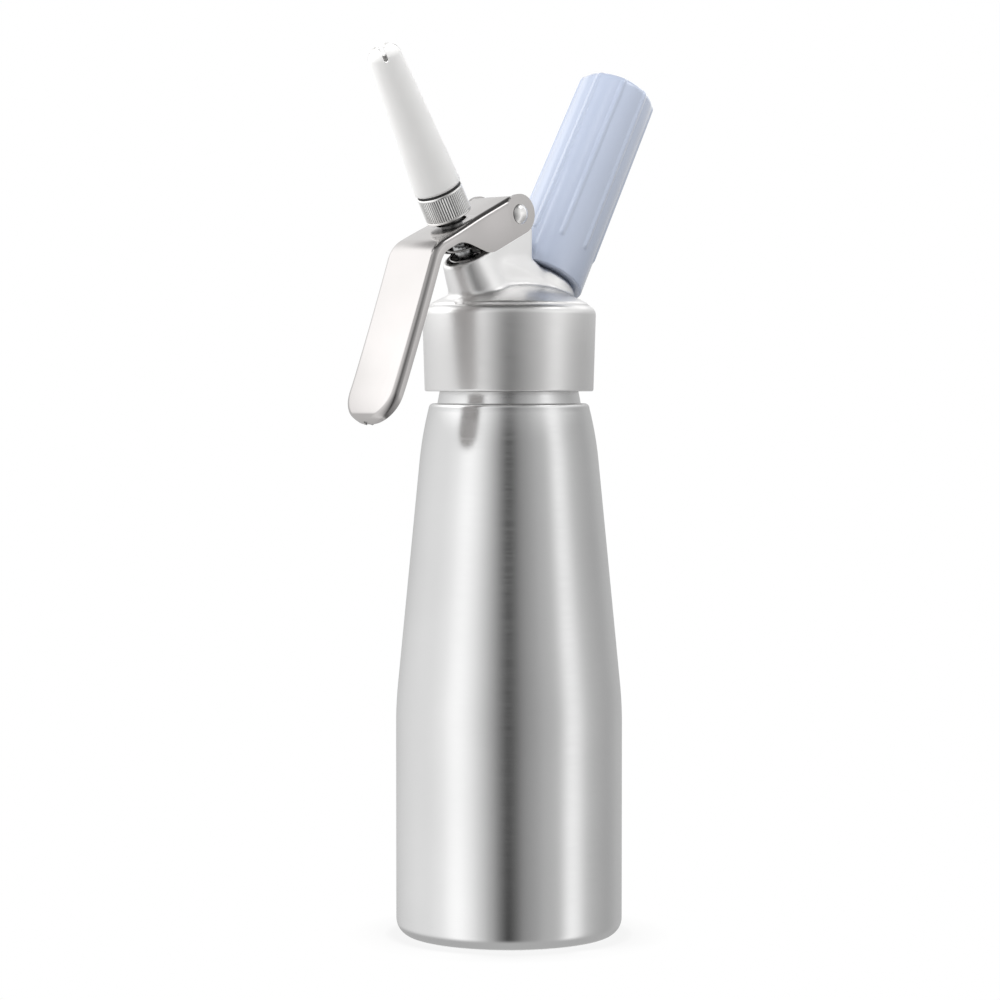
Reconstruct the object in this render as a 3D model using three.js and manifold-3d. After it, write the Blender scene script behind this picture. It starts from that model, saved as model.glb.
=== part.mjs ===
// Whipped cream dispenser: an aluminium bottle with a screw-on cast head, a pressed steel squeeze lever,
// a sprung dispensing valve with a plastic nozzle, and a plastic holder that drives a gas charger
// onto a pin. Millimetres, +Z up. The origin is the middle of the flat base.
// The lever and the nozzle lean to -X, the charger to +X.
import * as THREE from "three";
import { mergeVertices } from "three/addons/utils/BufferGeometryUtils.js";
import Module from "manifold-3d";

const wasm = await Module();
wasm.setup();

// Fits between pieces
const FIT = 0.3; // a seat, a shaft in its hole, a face against a face
const THREAD_FIT = 0.6; // room for a thread between two plain cylinders
const SEAM = 0.15; // the thin line between two turned faces that are screwed tight
const OVERRUN = 1; // how far a cutting tool runs past what it cuts

// Smoothness: how many flat faces a full turn has
const TURN_LARGE = 44;
const TURN_MEDIUM = 28;
const TURN_SMALL = 16;
const CURVE_STEPS = 3;
const PLATE_STEPS = 9;
const BEND_STEPS = 5;
const HANDLE_STEPS = 2;
const TIP_STEPS = 6;
const FOLD_STEPS = 3;

// Bottle
const BOTTLE_RADIUS = 40;
const BOTTLE_WALL = 1.6;
const BASE_CORNER_RADIUS = 6;
const TAPER_START_HEIGHT = 82;
const TAPER_SOFTNESS = 7;
const TAPER_END_HEIGHT = 168;
const TAPER_END_RADIUS = 31.6;
const SHOULDER_HEIGHT = 188.2;
const SHOULDER_RADIUS = 28.4;
const SHOULDER_EDGE_RADIUS = 1.8;
const NECK_FOOT_RADIUS = 25.3;
const NECK_FOOT_HEIGHT = 5.4;
const NECK_RADIUS = 24.3;
const MOUTH_HEIGHT = 213.2;

// Head casting: skirt and dome
const SKIRT_GAP = 4.2; // bottle shoulder to the skirt's lower edge
const SKIRT_BOTTOM_RADIUS = 29.8;
const SKIRT_TOP_RADIUS = 30.6;
const SKIRT_EDGE_ROUND = 0.7;
const SKIRT_SHOULDER_RADIUS = 5;
const SKIRT_TOP_HEIGHT = 222.6;
const DOME_FOOT_RADIUS = 27;
const DOME_STEP = 0.9;
const DOME_RISE = 7.2;
const CEILING_RELIEF = 2.6;
const GASKET_RIB_RADIUS = 18.6;
const GASKET_RIB_WIDTH = 1.6;
const GASKET_RIB_DROP = 1.2;

// Head gasket
const GASKET_THICKNESS = 2.5;
const GASKET_WIDTH = 5.2;
const GASKET_TAB_LENGTH = 2.6;
const GASKET_TAB_WIDTH = 7;
const GASKET_TAB_THICKNESS = 1;

// Valve line: its axis leans to -X and starts at the foot of the knurled ring
const VALVE_LEAN = THREE.MathUtils.degToRad(30);
const RING_FOOT_X = -29.4;
const RING_FOOT_Z = 253;
const BOSS_RIM_DROP = 15.4;
const BOSS_RIM_RADIUS = 8.6;
const BOSS_LENGTH = 18.6;
const BOSS_FOOT_RADIUS = 10.6;
const BOSS_FLARE = 4.4;
const BOSS_FLARE_LENGTH = 6;
const CHAMBER_RADIUS = 6.5;
const CHAMBER_DEPTH = 20.4;
const GUIDE_LENGTH = 9.8;
const GUIDE_RADIUS = 3.7;
const GUIDE_BOSS_RADIUS = 7.4;

// Valve stem and what it carries
const STEM_RADIUS = 3.1;
const STEM_TOP = 7.4; // reach into the knurled ring
const STEM_BORE_RADIUS = 1.5;
const STEM_PORT_RADIUS = 1.1;
const STEM_TIP_RADIUS = 2.5;
const PLUG_RADIUS = 6.2;
const PLUG_THICKNESS = 1.6;
const VALVE_SEAL_THICKNESS = 2.2;
const VALVE_SEAL_TOP_RADIUS = 4.8;
const O_RING_SECTION = 0.9;
const O_RING_GROOVE_DEPTH = 0.9;
const COLLAR_RADIUS = 6.1;
const COLLAR_THICKNESS = 2.2;
const COLLAR_DROP = 4.9; // ring foot to the collar's upper face
const COLLAR_SLEEVE_RADIUS = 3.9;
const COLLAR_SPIGOT_LENGTH = 3;

// Valve spring
const SPRING_WIRE = 0.9;
const SPRING_MEAN_RADIUS = 5.2;
const SPRING_OPEN_TURNS = 6;
const SPRING_END_TURN_PITCH = 1.5;
const SPRING_STEPS_PER_TURN = 8;
const SPRING_SIDES = 5;
const LEAST_SPRING_GAP = 0.4;

// Knurled ring and nozzle
const RING_LENGTH = 9.7;
const RING_RADIUS = 8.2;
const RING_EDGE_BAND = 0.8;
const RING_EDGE_CHAMFER = 0.4;
const RING_BAND_RELIEF = 0.15;
const RING_SPIGOT_RADIUS = 5;
const RING_SPIGOT_LENGTH = 6.5;
const RING_BORE_RADIUS = 1.8;
const NOZZLE_SEAL_THICKNESS = 0.5;
const NOZZLE_LENGTH = 54;
const NOZZLE_BASE_RADIUS = 8.35;
const NOZZLE_BASE_CHAMFER = 0.6;
const NOZZLE_MIDDLE_RADIUS = 6.6;
const NOZZLE_TIP_RADIUS = 5.85;
const NOZZLE_TIP_ROUND = 4.4;
const NOZZLE_LIP = 0.35;
const NOZZLE_WALL = 1.9;
const NOZZLE_SLOTS = 2; // slots cut right across, so twice as many petals
const NOZZLE_SLOT_TURN = THREE.MathUtils.degToRad(49);
const NOZZLE_SLOT_WIDTH = 1.5;
const NOZZLE_SLOT_DEPTH = 4.8;

// Lever
const PIVOT_X = -5;
const PIVOT_Z = 254.2;
const LEVER_WIDTH = 21.4; // at the hinge
const HANDLE_WIDTH = 24;
const LEVER_SHEET = 1.5;
const LEVER_FOLD_RADIUS = 1.8;
const CHEEK_RADIUS = 7;
const FLANGE_DEPTH = 4;
const PLATE_SLOPE = THREE.MathUtils.degToRad(25);
const PLATE_LENGTH = 42.8; // pivot to the bend's corner, along the plate
const CHEEK_LENGTH = 15; // full depth, along the plate from the pivot
const CHEEK_FADE_LENGTH = 13; // from full depth to the flange's
const FLARE_LENGTH = 20; // from the hinge's width to the handle's
const BEND_RADIUS = 12;
const HANDLE_LEAN = THREE.MathUtils.degToRad(20);
const HANDLE_LENGTH = 47.6; // from the bend's corner to the tip's curl
const HANDLE_CURVE = THREE.MathUtils.degToRad(2);
const TIP_CURL = THREE.MathUtils.degToRad(6);
const TIP_CURL_LENGTH = 17;
const TIP_ROUND_RADIUS = 10.6;
const PLATE_END_SET = 0.5; // the plate stops this far short of the pivot
const STEM_HOLE_RADIUS = 5.4;

// Rivet
const RIVET_RADIUS = 2.4;
const RIVET_HEAD_RADIUS = 3.5;
const RIVET_HEAD_HEIGHT = 1.5;

// Web between the valve boss and the charger collar
const WEB_HINGE_RADIUS = 4.9;
const WEB_BACK_X = 3;
const WEB_BACK_TOP_DROP = 4.6; // pivot down to where the back edge turns straight
const WEB_FRONT_DROP = 7.6; // pivot down to the front edge's lower point
const WEB_FRONT_SET = 8.4;
const WEB_FOOT_FLARE = 6.4;
const WEB_FOOT_RISE = 9;

// Charger line: its axis leans to +X and starts at the holder's rim
const CHARGER_LEAN = THREE.MathUtils.degToRad(30);
const HOLDER_RIM_X = 16.2;
const HOLDER_RIM_Z = 232.2;
const HOLDER_GAP = 1.1;
const CHARGER_COLLAR_RADIUS = 13.2;
const CHARGER_COLLAR_DEPTH = 15;
const STUB_RADIUS = 10.2;
const STUB_LENGTH = 14.4;
const STUB_EDGE_CHAMFER = 0.8;
const INLET_RADIUS = 5.3;
const INLET_DEPTH = 10.4;
const GAS_BORE_RADIUS = 1.3;

// Charger holder
const HOLDER_LENGTH = 80.4;
const HOLDER_RIM_RADIUS = 15.1;
const HOLDER_TOP_RADIUS = 14.1;
const HOLDER_TOP_ROUND = 3.2;
const HOLDER_RIM_ROUND = 0.8;
const HOLDER_RIBS = 9;
const HOLDER_RIB_TURN = THREE.MathUtils.degToRad(31.5);
const HOLDER_RIB_WIDTH = 3;
const HOLDER_RIB_HEIGHT = 0.5;
const HOLDER_RIB_START = 12;
const HOLDER_RIB_RUNOUT = 2;
const HOLDER_THREAD_DEPTH = 16;
const HOLDER_GAP_STEPS = 3; // faces from rib to rib
const RIB_SIDE_SHARES = [-1, -0.5, 0, 0.5, 1];

// Charger capsule
const CAPSULE_LENGTH = 65.5;
const CAPSULE_RADIUS = 9.3;
const CAPSULE_NECK_RADIUS = 4.45;
const CAPSULE_NECK_LENGTH = 8.6;
const CAPSULE_SHOULDER_LENGTH = 8;
const CAPSULE_END_ROUND = 5;
const CAPSULE_WALL = 1.7;
const CAP_LENGTH = 2.2;

// Inlet fittings
const CARRIER_THICKNESS = 3.2;
const PIN_RADIUS = 1;
const PIN_BORE_RADIUS = 0.4;
const PIN_FLANGE_RADIUS = 2.4;
const PIN_FLANGE_THICKNESS = 1;
const PIN_REACH = 2.6; // how far the tip stands past the gasket
const PIN_POINT_LENGTH = 1.6;
const INLET_GASKET_THICKNESS = 1.6;

// Check valve, under the head's ceiling, on an upright axis of its own
const CHECK_X = 11.5;
const CHECK_BOSS_RADIUS = 4.6;
const CHECK_BOSS_DROP = 4.4; // below the relieved ceiling
const CHECK_POCKET_RADIUS = 3.7;
const CHECK_POCKET_DEPTH = 3.1;
const CHECK_FLANGE_THICKNESS = 1.2;
const CHECK_NOSE_RADIUS = 1.7;
const CHECK_NOSE_LENGTH = 3.4;
const CHECK_NOSE_TIP_RADIUS = 1.1;
const CHECK_SLIT_RADIUS = 0.5;

// Places worked out from the sizes above
const skirtBottom = SHOULDER_HEIGHT + SKIRT_GAP;
const ceiling = MOUTH_HEIGHT + FIT + GASKET_THICKNESS + FIT;
const skirtBoreRadius = NECK_RADIUS + THREAD_FIT + THREAD_FIT;
const chamberFloor = -BOSS_RIM_DROP - CHAMBER_DEPTH;
const valveSeat = chamberFloor - GUIDE_LENGTH;
const collarTop = -COLLAR_DROP;
const collarBottom = collarTop - COLLAR_THICKNESS;
const nozzleFoot = RING_LENGTH + SEAM + NOZZLE_SEAL_THICKNESS + SEAM;
const cheekInside = LEVER_WIDTH / 2 - LEVER_SHEET;
const stubTop = STUB_LENGTH;
const inletFloor = stubTop - INLET_DEPTH;
const carrierTop = inletFloor + FIT + CARRIER_THICKNESS;
const gasketTop = carrierTop + FIT + INLET_GASKET_THICKNESS;
const capsuleFoot = gasketTop + FIT;
const capsuleTop = capsuleFoot + CAPSULE_LENGTH;
const relievedCeiling = ceiling + CEILING_RELIEF;
const checkBossFoot = relievedCeiling - CHECK_BOSS_DROP;
const checkPocketTop = checkBossFoot + CHECK_POCKET_DEPTH;
const checkFlangeTop = checkPocketTop - FIT;
const checkFlangeBottom = checkFlangeTop - CHECK_FLANGE_THICKNESS;

// Geometry helpers

// Only the places of a shape's corners, with shared corners merged and slivers dropped.
function welded(geometry) {
  const bare = geometry.clone();
  bare.deleteAttribute("normal");
  bare.deleteAttribute("uv");
  const merged = mergeVertices(bare, 1e-5);
  const kept = [];
  const index = merged.index.array;
  for (let i = 0; i < index.length; i += 3) {
    const [a, b, c] = [index[i], index[i + 1], index[i + 2]];
    if (a !== b && b !== c && c !== a) kept.push(a, b, c);
  }
  merged.setIndex(kept);
  return merged;
}

function solid(geometry, matrix) {
  const shape = welded(geometry);
  if (matrix) shape.applyMatrix4(matrix);
  const vertProperties = shape.attributes.position.array;
  const triVerts = new Uint32Array(shape.index.array);
  return new wasm.Manifold(new wasm.Mesh({ numProp: 3, vertProperties, triVerts }));
}

function surface(body) {
  const mesh = body.getMesh();
  const geometry = new THREE.BufferGeometry();
  const places = new Float32Array(mesh.vertProperties);
  geometry.setAttribute("position", new THREE.BufferAttribute(places, 3));
  geometry.setIndex(Array.from(mesh.triVerts));
  const flat = geometry.toNonIndexed();
  flat.computeVertexNormals();
  return flat;
}

// A turned shape about Z from an outline of [radius, height] pairs, anticlockwise seen with
// the radius to the right.
function turned(outline, faces) {
  const points = outline.map(([radius, height]) => new THREE.Vector2(radius, height));
  const closed = points[0].x > 0 || points[points.length - 1].x > 0;
  if (closed) points.push(points[0].clone());
  return new THREE.LatheGeometry(points, faces).rotateX(Math.PI / 2);
}

function rod(radius, low, high, faces) {
  return turned([[0, low], [radius, low], [radius, high], [0, high]], faces);
}

function tube(inner, outer, low, high, faces) {
  return turned([[inner, low], [outer, low], [outer, high], [inner, high]], faces);
}

// Points on an arc about [x, y], from one angle to another in degrees.
function arc(x, y, radius, from, to, steps = CURVE_STEPS) {
  const points = [];
  for (let i = 0; i <= steps; i++) {
    const angle = THREE.MathUtils.degToRad(from + ((to - from) * i) / steps);
    points.push([x + radius * Math.cos(angle), y + radius * Math.sin(angle)]);
  }
  return points;
}

// Points on a curve that leaves the first point towards the corner and reaches the last from it.
function sweep(first, corner, last, steps = CURVE_STEPS) {
  const curve = new THREE.QuadraticBezierCurve(
    new THREE.Vector2(...first),
    new THREE.Vector2(...corner),
    new THREE.Vector2(...last),
  );
  return curve.getPoints(steps).map((point) => [point.x, point.y]);
}

// The same line moved to its left by a distance, for the inner face of a wall.
function beside(line, distance) {
  return line.map((point, i) => {
    const before = line[Math.max(i - 1, 0)];
    const after = line[Math.min(i + 1, line.length - 1)];
    const run = new THREE.Vector2(after[0] - before[0], after[1] - before[1]).normalize();
    return [point[0] - run.y * distance, point[1] + run.x * distance];
  });
}

// A plate cut from a side view: the outline is [x, z] and its thickness is centred on Y = 0.
function sideCut(outline, thickness) {
  const shape = new THREE.Shape(outline.map(([x, z]) => new THREE.Vector2(x, z)));
  const plate = new THREE.ExtrudeGeometry(shape, { depth: thickness, bevelEnabled: false });
  return plate.translate(0, 0, -thickness / 2).rotateX(Math.PI / 2);
}

// A bar cut from a front view: the outline is [y, z] and the bar runs along X from one end to the other.
function frontCut(outline, from, to) {
  const shape = new THREE.Shape(outline.map(([y, z]) => new THREE.Vector2(y, z)));
  const bar = new THREE.ExtrudeGeometry(shape, { depth: to - from, bevelEnabled: false });
  return bar.rotateX(Math.PI / 2).rotateZ(Math.PI / 2).translate(from, 0, 0);
}

function crossRod(radius, length, x, z, faces) {
  return rod(radius, -length / 2, length / 2, faces).rotateX(Math.PI / 2).translate(x, 0, z);
}

// Materials
const brushed = new THREE.MeshStandardMaterial({ color: 0xc4c6c8, roughness: 0.34, metalness: 1 });
const cast = new THREE.MeshStandardMaterial({ color: 0xcfd0d1, roughness: 0.38, metalness: 1 });
const pressed = new THREE.MeshStandardMaterial({ color: 0xd8d7d4, roughness: 0.22, metalness: 1 });
const steel = new THREE.MeshStandardMaterial({ color: 0xa9abad, roughness: 0.25, metalness: 1 });
const brass = new THREE.MeshStandardMaterial({ color: 0xb9a46a, roughness: 0.3, metalness: 1 });
const white = new THREE.MeshStandardMaterial({ color: 0xf1f1ef, roughness: 0.5, metalness: 0 });
const blue = new THREE.MeshStandardMaterial({ color: 0xc3cfe8, roughness: 0.25, metalness: 0 });
const rubber = new THREE.MeshStandardMaterial({ color: 0x1c1c1d, roughness: 0.7, metalness: 0 });
const silicone = new THREE.MeshStandardMaterial({ color: 0xdad9d4, roughness: 0.6, metalness: 0 });

// The groups that hold the pieces, each in its own frame
const dispenser = new THREE.Group();
const valveLine = new THREE.Group();
valveLine.position.set(RING_FOOT_X, 0, RING_FOOT_Z);
valveLine.rotation.y = -VALVE_LEAN;
const chargerLine = new THREE.Group();
chargerLine.position.set(HOLDER_RIM_X, 0, HOLDER_RIM_Z);
chargerLine.rotation.y = CHARGER_LEAN;
dispenser.add(valveLine, chargerLine);
valveLine.updateMatrix();
chargerLine.updateMatrix();
const onValveLine = valveLine.matrix;
const onChargerLine = chargerLine.matrix;

function addPiece(group, name, geometry, material) {
  const mesh = new THREE.Mesh(geometry, material.clone());
  mesh.name = name;
  group.add(mesh);
}

// Bottle: drawn from one blank, straight below, tapered above, with a plain neck for the thread
function bottleOutside() {
  const slope = (BOTTLE_RADIUS - TAPER_END_RADIUS) / (TAPER_END_HEIGHT - TAPER_START_HEIGHT);
  const softTop = TAPER_START_HEIGHT + TAPER_SOFTNESS;
  const softRadius = BOTTLE_RADIUS - slope * TAPER_SOFTNESS;
  const edgeFoot = SHOULDER_HEIGHT - SHOULDER_EDGE_RADIUS;
  const shoulderCornerHeight = (TAPER_END_HEIGHT + edgeFoot) / 2;
  const shoulderCornerRadius = TAPER_END_RADIUS - slope * (shoulderCornerHeight - TAPER_END_HEIGHT);
  const cornerX = BOTTLE_RADIUS - BASE_CORNER_RADIUS;
  const edgeX = SHOULDER_RADIUS - SHOULDER_EDGE_RADIUS;
  return [
    ...arc(cornerX, BASE_CORNER_RADIUS, BASE_CORNER_RADIUS, -90, 0),
    ...sweep(
      [BOTTLE_RADIUS, TAPER_START_HEIGHT - TAPER_SOFTNESS],
      [BOTTLE_RADIUS, TAPER_START_HEIGHT],
      [softRadius, softTop],
    ),
    ...sweep(
      [TAPER_END_RADIUS, TAPER_END_HEIGHT],
      [shoulderCornerRadius, shoulderCornerHeight],
      [SHOULDER_RADIUS, edgeFoot],
    ),
    ...arc(edgeX, edgeFoot, SHOULDER_EDGE_RADIUS, 0, 90, 3).slice(1),
    [NECK_FOOT_RADIUS, SHOULDER_HEIGHT],
    [NECK_RADIUS, SHOULDER_HEIGHT + NECK_FOOT_HEIGHT],
    [NECK_RADIUS, MOUTH_HEIGHT],
  ];
}

function bottle() {
  const outside = bottleOutside();
  const inside = beside(outside, BOTTLE_WALL).reverse();
  const lipRadius = NECK_RADIUS - BOTTLE_WALL;
  inside[0] = [lipRadius, MOUTH_HEIGHT];
  const floorEdge = inside[inside.length - 1][0];
  const floor = [[floorEdge, BOTTLE_WALL], [0, BOTTLE_WALL]];
  const walls = [[0, 0], ...outside, ...inside.slice(0, -1), ...floor];
  return turned(walls, TURN_LARGE);
}

// Head casting
function skirtAndDome() {
  const slope = (SKIRT_TOP_RADIUS - SKIRT_BOTTOM_RADIUS) / (SKIRT_TOP_HEIGHT - skirtBottom);
  const shoulderFoot = SKIRT_TOP_HEIGHT - SKIRT_SHOULDER_RADIUS;
  const domeFoot = SKIRT_TOP_HEIGHT + DOME_STEP;
  const domeRadius = (DOME_FOOT_RADIUS ** 2 + DOME_RISE ** 2) / (2 * DOME_RISE);
  const domeCentre = domeFoot + DOME_RISE - domeRadius;
  const domeAngle = THREE.MathUtils.radToDeg(Math.acos(DOME_FOOT_RADIUS / domeRadius));
  const shoulderX = SKIRT_TOP_RADIUS - SKIRT_SHOULDER_RADIUS;
  const shoulder = arc(shoulderX, shoulderFoot, SKIRT_SHOULDER_RADIUS, 0, 90, 6);
  const ribInside = GASKET_RIB_RADIUS - GASKET_RIB_WIDTH;
  return turned(
    [
      [0, relievedCeiling],
      [ribInside, relievedCeiling],
      [ribInside, ceiling - GASKET_RIB_DROP],
      [GASKET_RIB_RADIUS, ceiling - GASKET_RIB_DROP],
      [GASKET_RIB_RADIUS, ceiling],
      [skirtBoreRadius, ceiling],
      [skirtBoreRadius, skirtBottom],
      [SKIRT_BOTTOM_RADIUS - SKIRT_EDGE_ROUND, skirtBottom],
      [SKIRT_BOTTOM_RADIUS + slope * SKIRT_EDGE_ROUND, skirtBottom + SKIRT_EDGE_ROUND],
      ...shoulder.filter(([radius]) => radius > DOME_FOOT_RADIUS),
      [DOME_FOOT_RADIUS, SKIRT_TOP_HEIGHT],
      ...arc(0, domeCentre, domeRadius, domeAngle, 90, 7),
    ],
    TURN_LARGE,
  );
}

function valveBoss() {
  const flareTop = -BOSS_RIM_DROP - BOSS_LENGTH + BOSS_FLARE_LENGTH;
  const foot = -BOSS_RIM_DROP - BOSS_LENGTH;
  return turned(
    [
      [0, foot],
      ...sweep(
        [BOSS_FOOT_RADIUS + BOSS_FLARE, foot],
        [BOSS_FOOT_RADIUS, foot],
        [BOSS_FOOT_RADIUS, flareTop],
      ),
      [BOSS_RIM_RADIUS, -BOSS_RIM_DROP - RING_EDGE_CHAMFER],
      [BOSS_RIM_RADIUS - RING_EDGE_CHAMFER, -BOSS_RIM_DROP],
      [0, -BOSS_RIM_DROP],
    ],
    TURN_MEDIUM,
  );
}

// The web: its side view, with the hinge at the top, crossed with its front view, flared at the foot.
function web() {
  const hinge = arc(PIVOT_X, PIVOT_Z, WEB_HINGE_RADIUS, 20, 180, 10);
  const foot = SKIRT_TOP_HEIGHT;
  const side = [
    [RING_FOOT_X / 2, foot],
    [HOLDER_RIM_X, foot],
    [HOLDER_RIM_X, HOLDER_RIM_Z],
    [WEB_BACK_X, HOLDER_RIM_Z],
    [WEB_BACK_X, PIVOT_Z - WEB_BACK_TOP_DROP],
    ...hinge,
    [PIVOT_X - WEB_FRONT_SET, PIVOT_Z - WEB_FRONT_DROP],
    [RING_FOOT_X / 2, PIVOT_Z - WEB_FRONT_DROP - CHEEK_RADIUS],
  ];
  const half = cheekInside - FIT;
  const flareFoot = SKIRT_TOP_HEIGHT + DOME_RISE / 2;
  const flare = sweep(
    [half + WEB_FOOT_FLARE, flareFoot],
    [half, flareFoot],
    [half, flareFoot + WEB_FOOT_RISE],
  );
  const top = PIVOT_Z + CHEEK_RADIUS;
  const mirrored = flare.map(([y, z]) => [-y, z]).reverse();
  const front = [
    [-half - WEB_FOOT_FLARE, foot],
    [half + WEB_FOOT_FLARE, foot],
    ...flare,
    [half, top],
    [-half, top],
    ...mirrored,
  ];
  const length = HOLDER_RIM_X - RING_FOOT_X;
  const frontBar = frontCut(front, -length, length);
  const sidePlate = sideCut(side, LEVER_WIDTH + WEB_FOOT_FLARE + WEB_FOOT_FLARE);
  return solid(sidePlate).intersect(solid(frontBar));
}

function chargerCollarAndStub() {
  return turned(
    [
      [0, -CHARGER_COLLAR_DEPTH],
      [CHARGER_COLLAR_RADIUS, -CHARGER_COLLAR_DEPTH],
      [CHARGER_COLLAR_RADIUS, -HOLDER_GAP - STUB_EDGE_CHAMFER],
      [CHARGER_COLLAR_RADIUS - STUB_EDGE_CHAMFER, -HOLDER_GAP],
      [STUB_RADIUS, -HOLDER_GAP],
      [STUB_RADIUS, stubTop - STUB_EDGE_CHAMFER],
      [STUB_RADIUS - STUB_EDGE_CHAMFER, stubTop],
      [0, stubTop],
    ],
    TURN_MEDIUM,
  );
}

function head() {
  const underBoss = rod(GUIDE_BOSS_RADIUS, valveSeat, chamberFloor + OVERRUN, TURN_MEDIUM);
  const checkBoss = rod(CHECK_BOSS_RADIUS, checkBossFoot, relievedCeiling + OVERRUN, TURN_SMALL);
  const chamber = rod(CHAMBER_RADIUS, chamberFloor, -BOSS_RIM_DROP + OVERRUN, TURN_MEDIUM);
  const guide = rod(GUIDE_RADIUS, valveSeat - OVERRUN, chamberFloor + OVERRUN, TURN_SMALL);
  const inlet = rod(INLET_RADIUS, inletFloor, stubTop + OVERRUN, TURN_SMALL);
  const gasTurn = (CHECK_X - HOLDER_RIM_X) / Math.sin(CHARGER_LEAN);
  const gasTurnHeight = HOLDER_RIM_Z + gasTurn * Math.cos(CHARGER_LEAN);
  const gasBore = rod(GAS_BORE_RADIUS, gasTurn, inletFloor + OVERRUN, TURN_SMALL);
  const gasDropTop = gasTurnHeight + GAS_BORE_RADIUS;
  const gasDrop = rod(GAS_BORE_RADIUS, checkBossFoot - OVERRUN, gasDropTop, TURN_SMALL);
  const checkPocket = rod(CHECK_POCKET_RADIUS, checkBossFoot - OVERRUN, checkPocketTop, TURN_SMALL);
  const hingeBore = crossRod(RIVET_RADIUS + FIT, LEVER_WIDTH, PIVOT_X, PIVOT_Z, TURN_SMALL);
  const inside = rod(skirtBoreRadius, skirtBottom - OVERRUN, relievedCeiling, TURN_LARGE);
  // What stands above the ceiling is trimmed to it, so no boss's slanted end hangs into the mouth.
  const upper = solid(valveBoss(), onValveLine)
    .add(web())
    .add(solid(chargerCollarAndStub(), onChargerLine))
    .subtract(solid(inside));
  const body = solid(skirtAndDome())
    .add(upper)
    .add(solid(underBoss, onValveLine))
    .add(solid(checkBoss.translate(CHECK_X, 0, 0)))
    .subtract(solid(chamber, onValveLine))
    .subtract(solid(guide, onValveLine))
    .subtract(solid(inlet, onChargerLine))
    .subtract(solid(gasBore, onChargerLine))
    .subtract(solid(gasDrop.translate(CHECK_X, 0, 0)))
    .subtract(solid(checkPocket.translate(CHECK_X, 0, 0)))
    .subtract(solid(hingeBore));
  return surface(body);
}

// Head gasket: a flat silicone ring with two tabs to pull it out by
function headGasket() {
  const inner = GASKET_RIB_RADIUS + FIT;
  const outer = Math.min(inner + GASKET_WIDTH, skirtBoreRadius - FIT);
  const low = MOUTH_HEIGHT + FIT;
  const ring = solid(tube(inner, outer, low, low + GASKET_THICKNESS, TURN_LARGE));
  const length = GASKET_TAB_LENGTH + GASKET_WIDTH / 2;
  const tabs = [1, -1].map((side) => {
    const tab = new THREE.BoxGeometry(GASKET_TAB_WIDTH, length, GASKET_TAB_THICKNESS);
    const middle = side * (inner - GASKET_TAB_LENGTH + length / 2);
    return solid(tab.translate(0, middle, low + GASKET_TAB_THICKNESS / 2));
  });
  return surface(ring.add(tabs[0]).add(tabs[1]));
}

// Valve line, heights measured up its axis from the knurled ring's foot
function valveStem() {
  const sealTop = valveSeat - FIT;
  const plugTop = sealTop - VALVE_SEAL_THICKNESS - FIT;
  const plugBottom = plugTop - PLUG_THICKNESS;
  const grooveMiddle = (chamberFloor + valveSeat) / 2 + O_RING_SECTION + FIT;
  const grooveHalf = O_RING_SECTION / 2 + FIT;
  const grooveRadius = STEM_RADIUS - O_RING_GROOVE_DEPTH;
  const portHeight = valveSeat + STEM_TIP_RADIUS;
  const outline = [
    [0, plugBottom],
    [PLUG_RADIUS - PLUG_THICKNESS / 3, plugBottom],
    [PLUG_RADIUS, plugBottom + PLUG_THICKNESS / 3],
    [PLUG_RADIUS, plugTop],
    [STEM_TIP_RADIUS, plugTop],
    [STEM_TIP_RADIUS, portHeight + STEM_PORT_RADIUS],
    [STEM_RADIUS, portHeight + STEM_PORT_RADIUS + STEM_RADIUS - STEM_TIP_RADIUS],
    [STEM_RADIUS, grooveMiddle - grooveHalf],
    [grooveRadius, grooveMiddle - grooveHalf],
    [grooveRadius, grooveMiddle + grooveHalf],
    [STEM_RADIUS, grooveMiddle + grooveHalf],
    [STEM_RADIUS, STEM_TOP],
    [0, STEM_TOP],
  ];
  const bore = rod(STEM_BORE_RADIUS, portHeight - STEM_PORT_RADIUS, STEM_TOP + OVERRUN, TURN_SMALL);
  const port = crossRod(STEM_PORT_RADIUS, 2 * STEM_RADIUS + OVERRUN, 0, portHeight, TURN_SMALL);
  return surface(solid(turned(outline, TURN_SMALL)).subtract(solid(bore)).subtract(solid(port)));
}

function valveSeal() {
  const top = valveSeat - FIT;
  const low = top - VALVE_SEAL_THICKNESS;
  const hole = STEM_TIP_RADIUS + FIT;
  return turned(
    [
      [hole, low],
      [PLUG_RADIUS - FIT, low],
      [PLUG_RADIUS - FIT, low + VALVE_SEAL_THICKNESS / 3],
      [VALVE_SEAL_TOP_RADIUS, top],
      [hole, top],
    ],
    TURN_SMALL,
  );
}

function stemORing() {
  const middle = (chamberFloor + valveSeat) / 2 + O_RING_SECTION + FIT;
  const inner = STEM_RADIUS - O_RING_GROOVE_DEPTH + FIT;
  const section = arc(inner + O_RING_SECTION / 2, middle, O_RING_SECTION / 2, 0, 315, 7);
  return turned(section, TURN_SMALL);
}

function springCollar() {
  const hole = STEM_RADIUS + FIT;
  return turned(
    [
      [hole, collarBottom - COLLAR_SPIGOT_LENGTH],
      [COLLAR_SLEEVE_RADIUS, collarBottom - COLLAR_SPIGOT_LENGTH],
      [COLLAR_SLEEVE_RADIUS, collarBottom],
      [COLLAR_RADIUS, collarBottom],
      [COLLAR_RADIUS, collarTop - RING_EDGE_CHAMFER],
      [COLLAR_RADIUS - RING_EDGE_CHAMFER, collarTop],
      [COLLAR_SLEEVE_RADIUS, collarTop],
      [COLLAR_SLEEVE_RADIUS, -FIT],
      [hole, -FIT],
    ],
    TURN_MEDIUM,
  );
}

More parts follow.
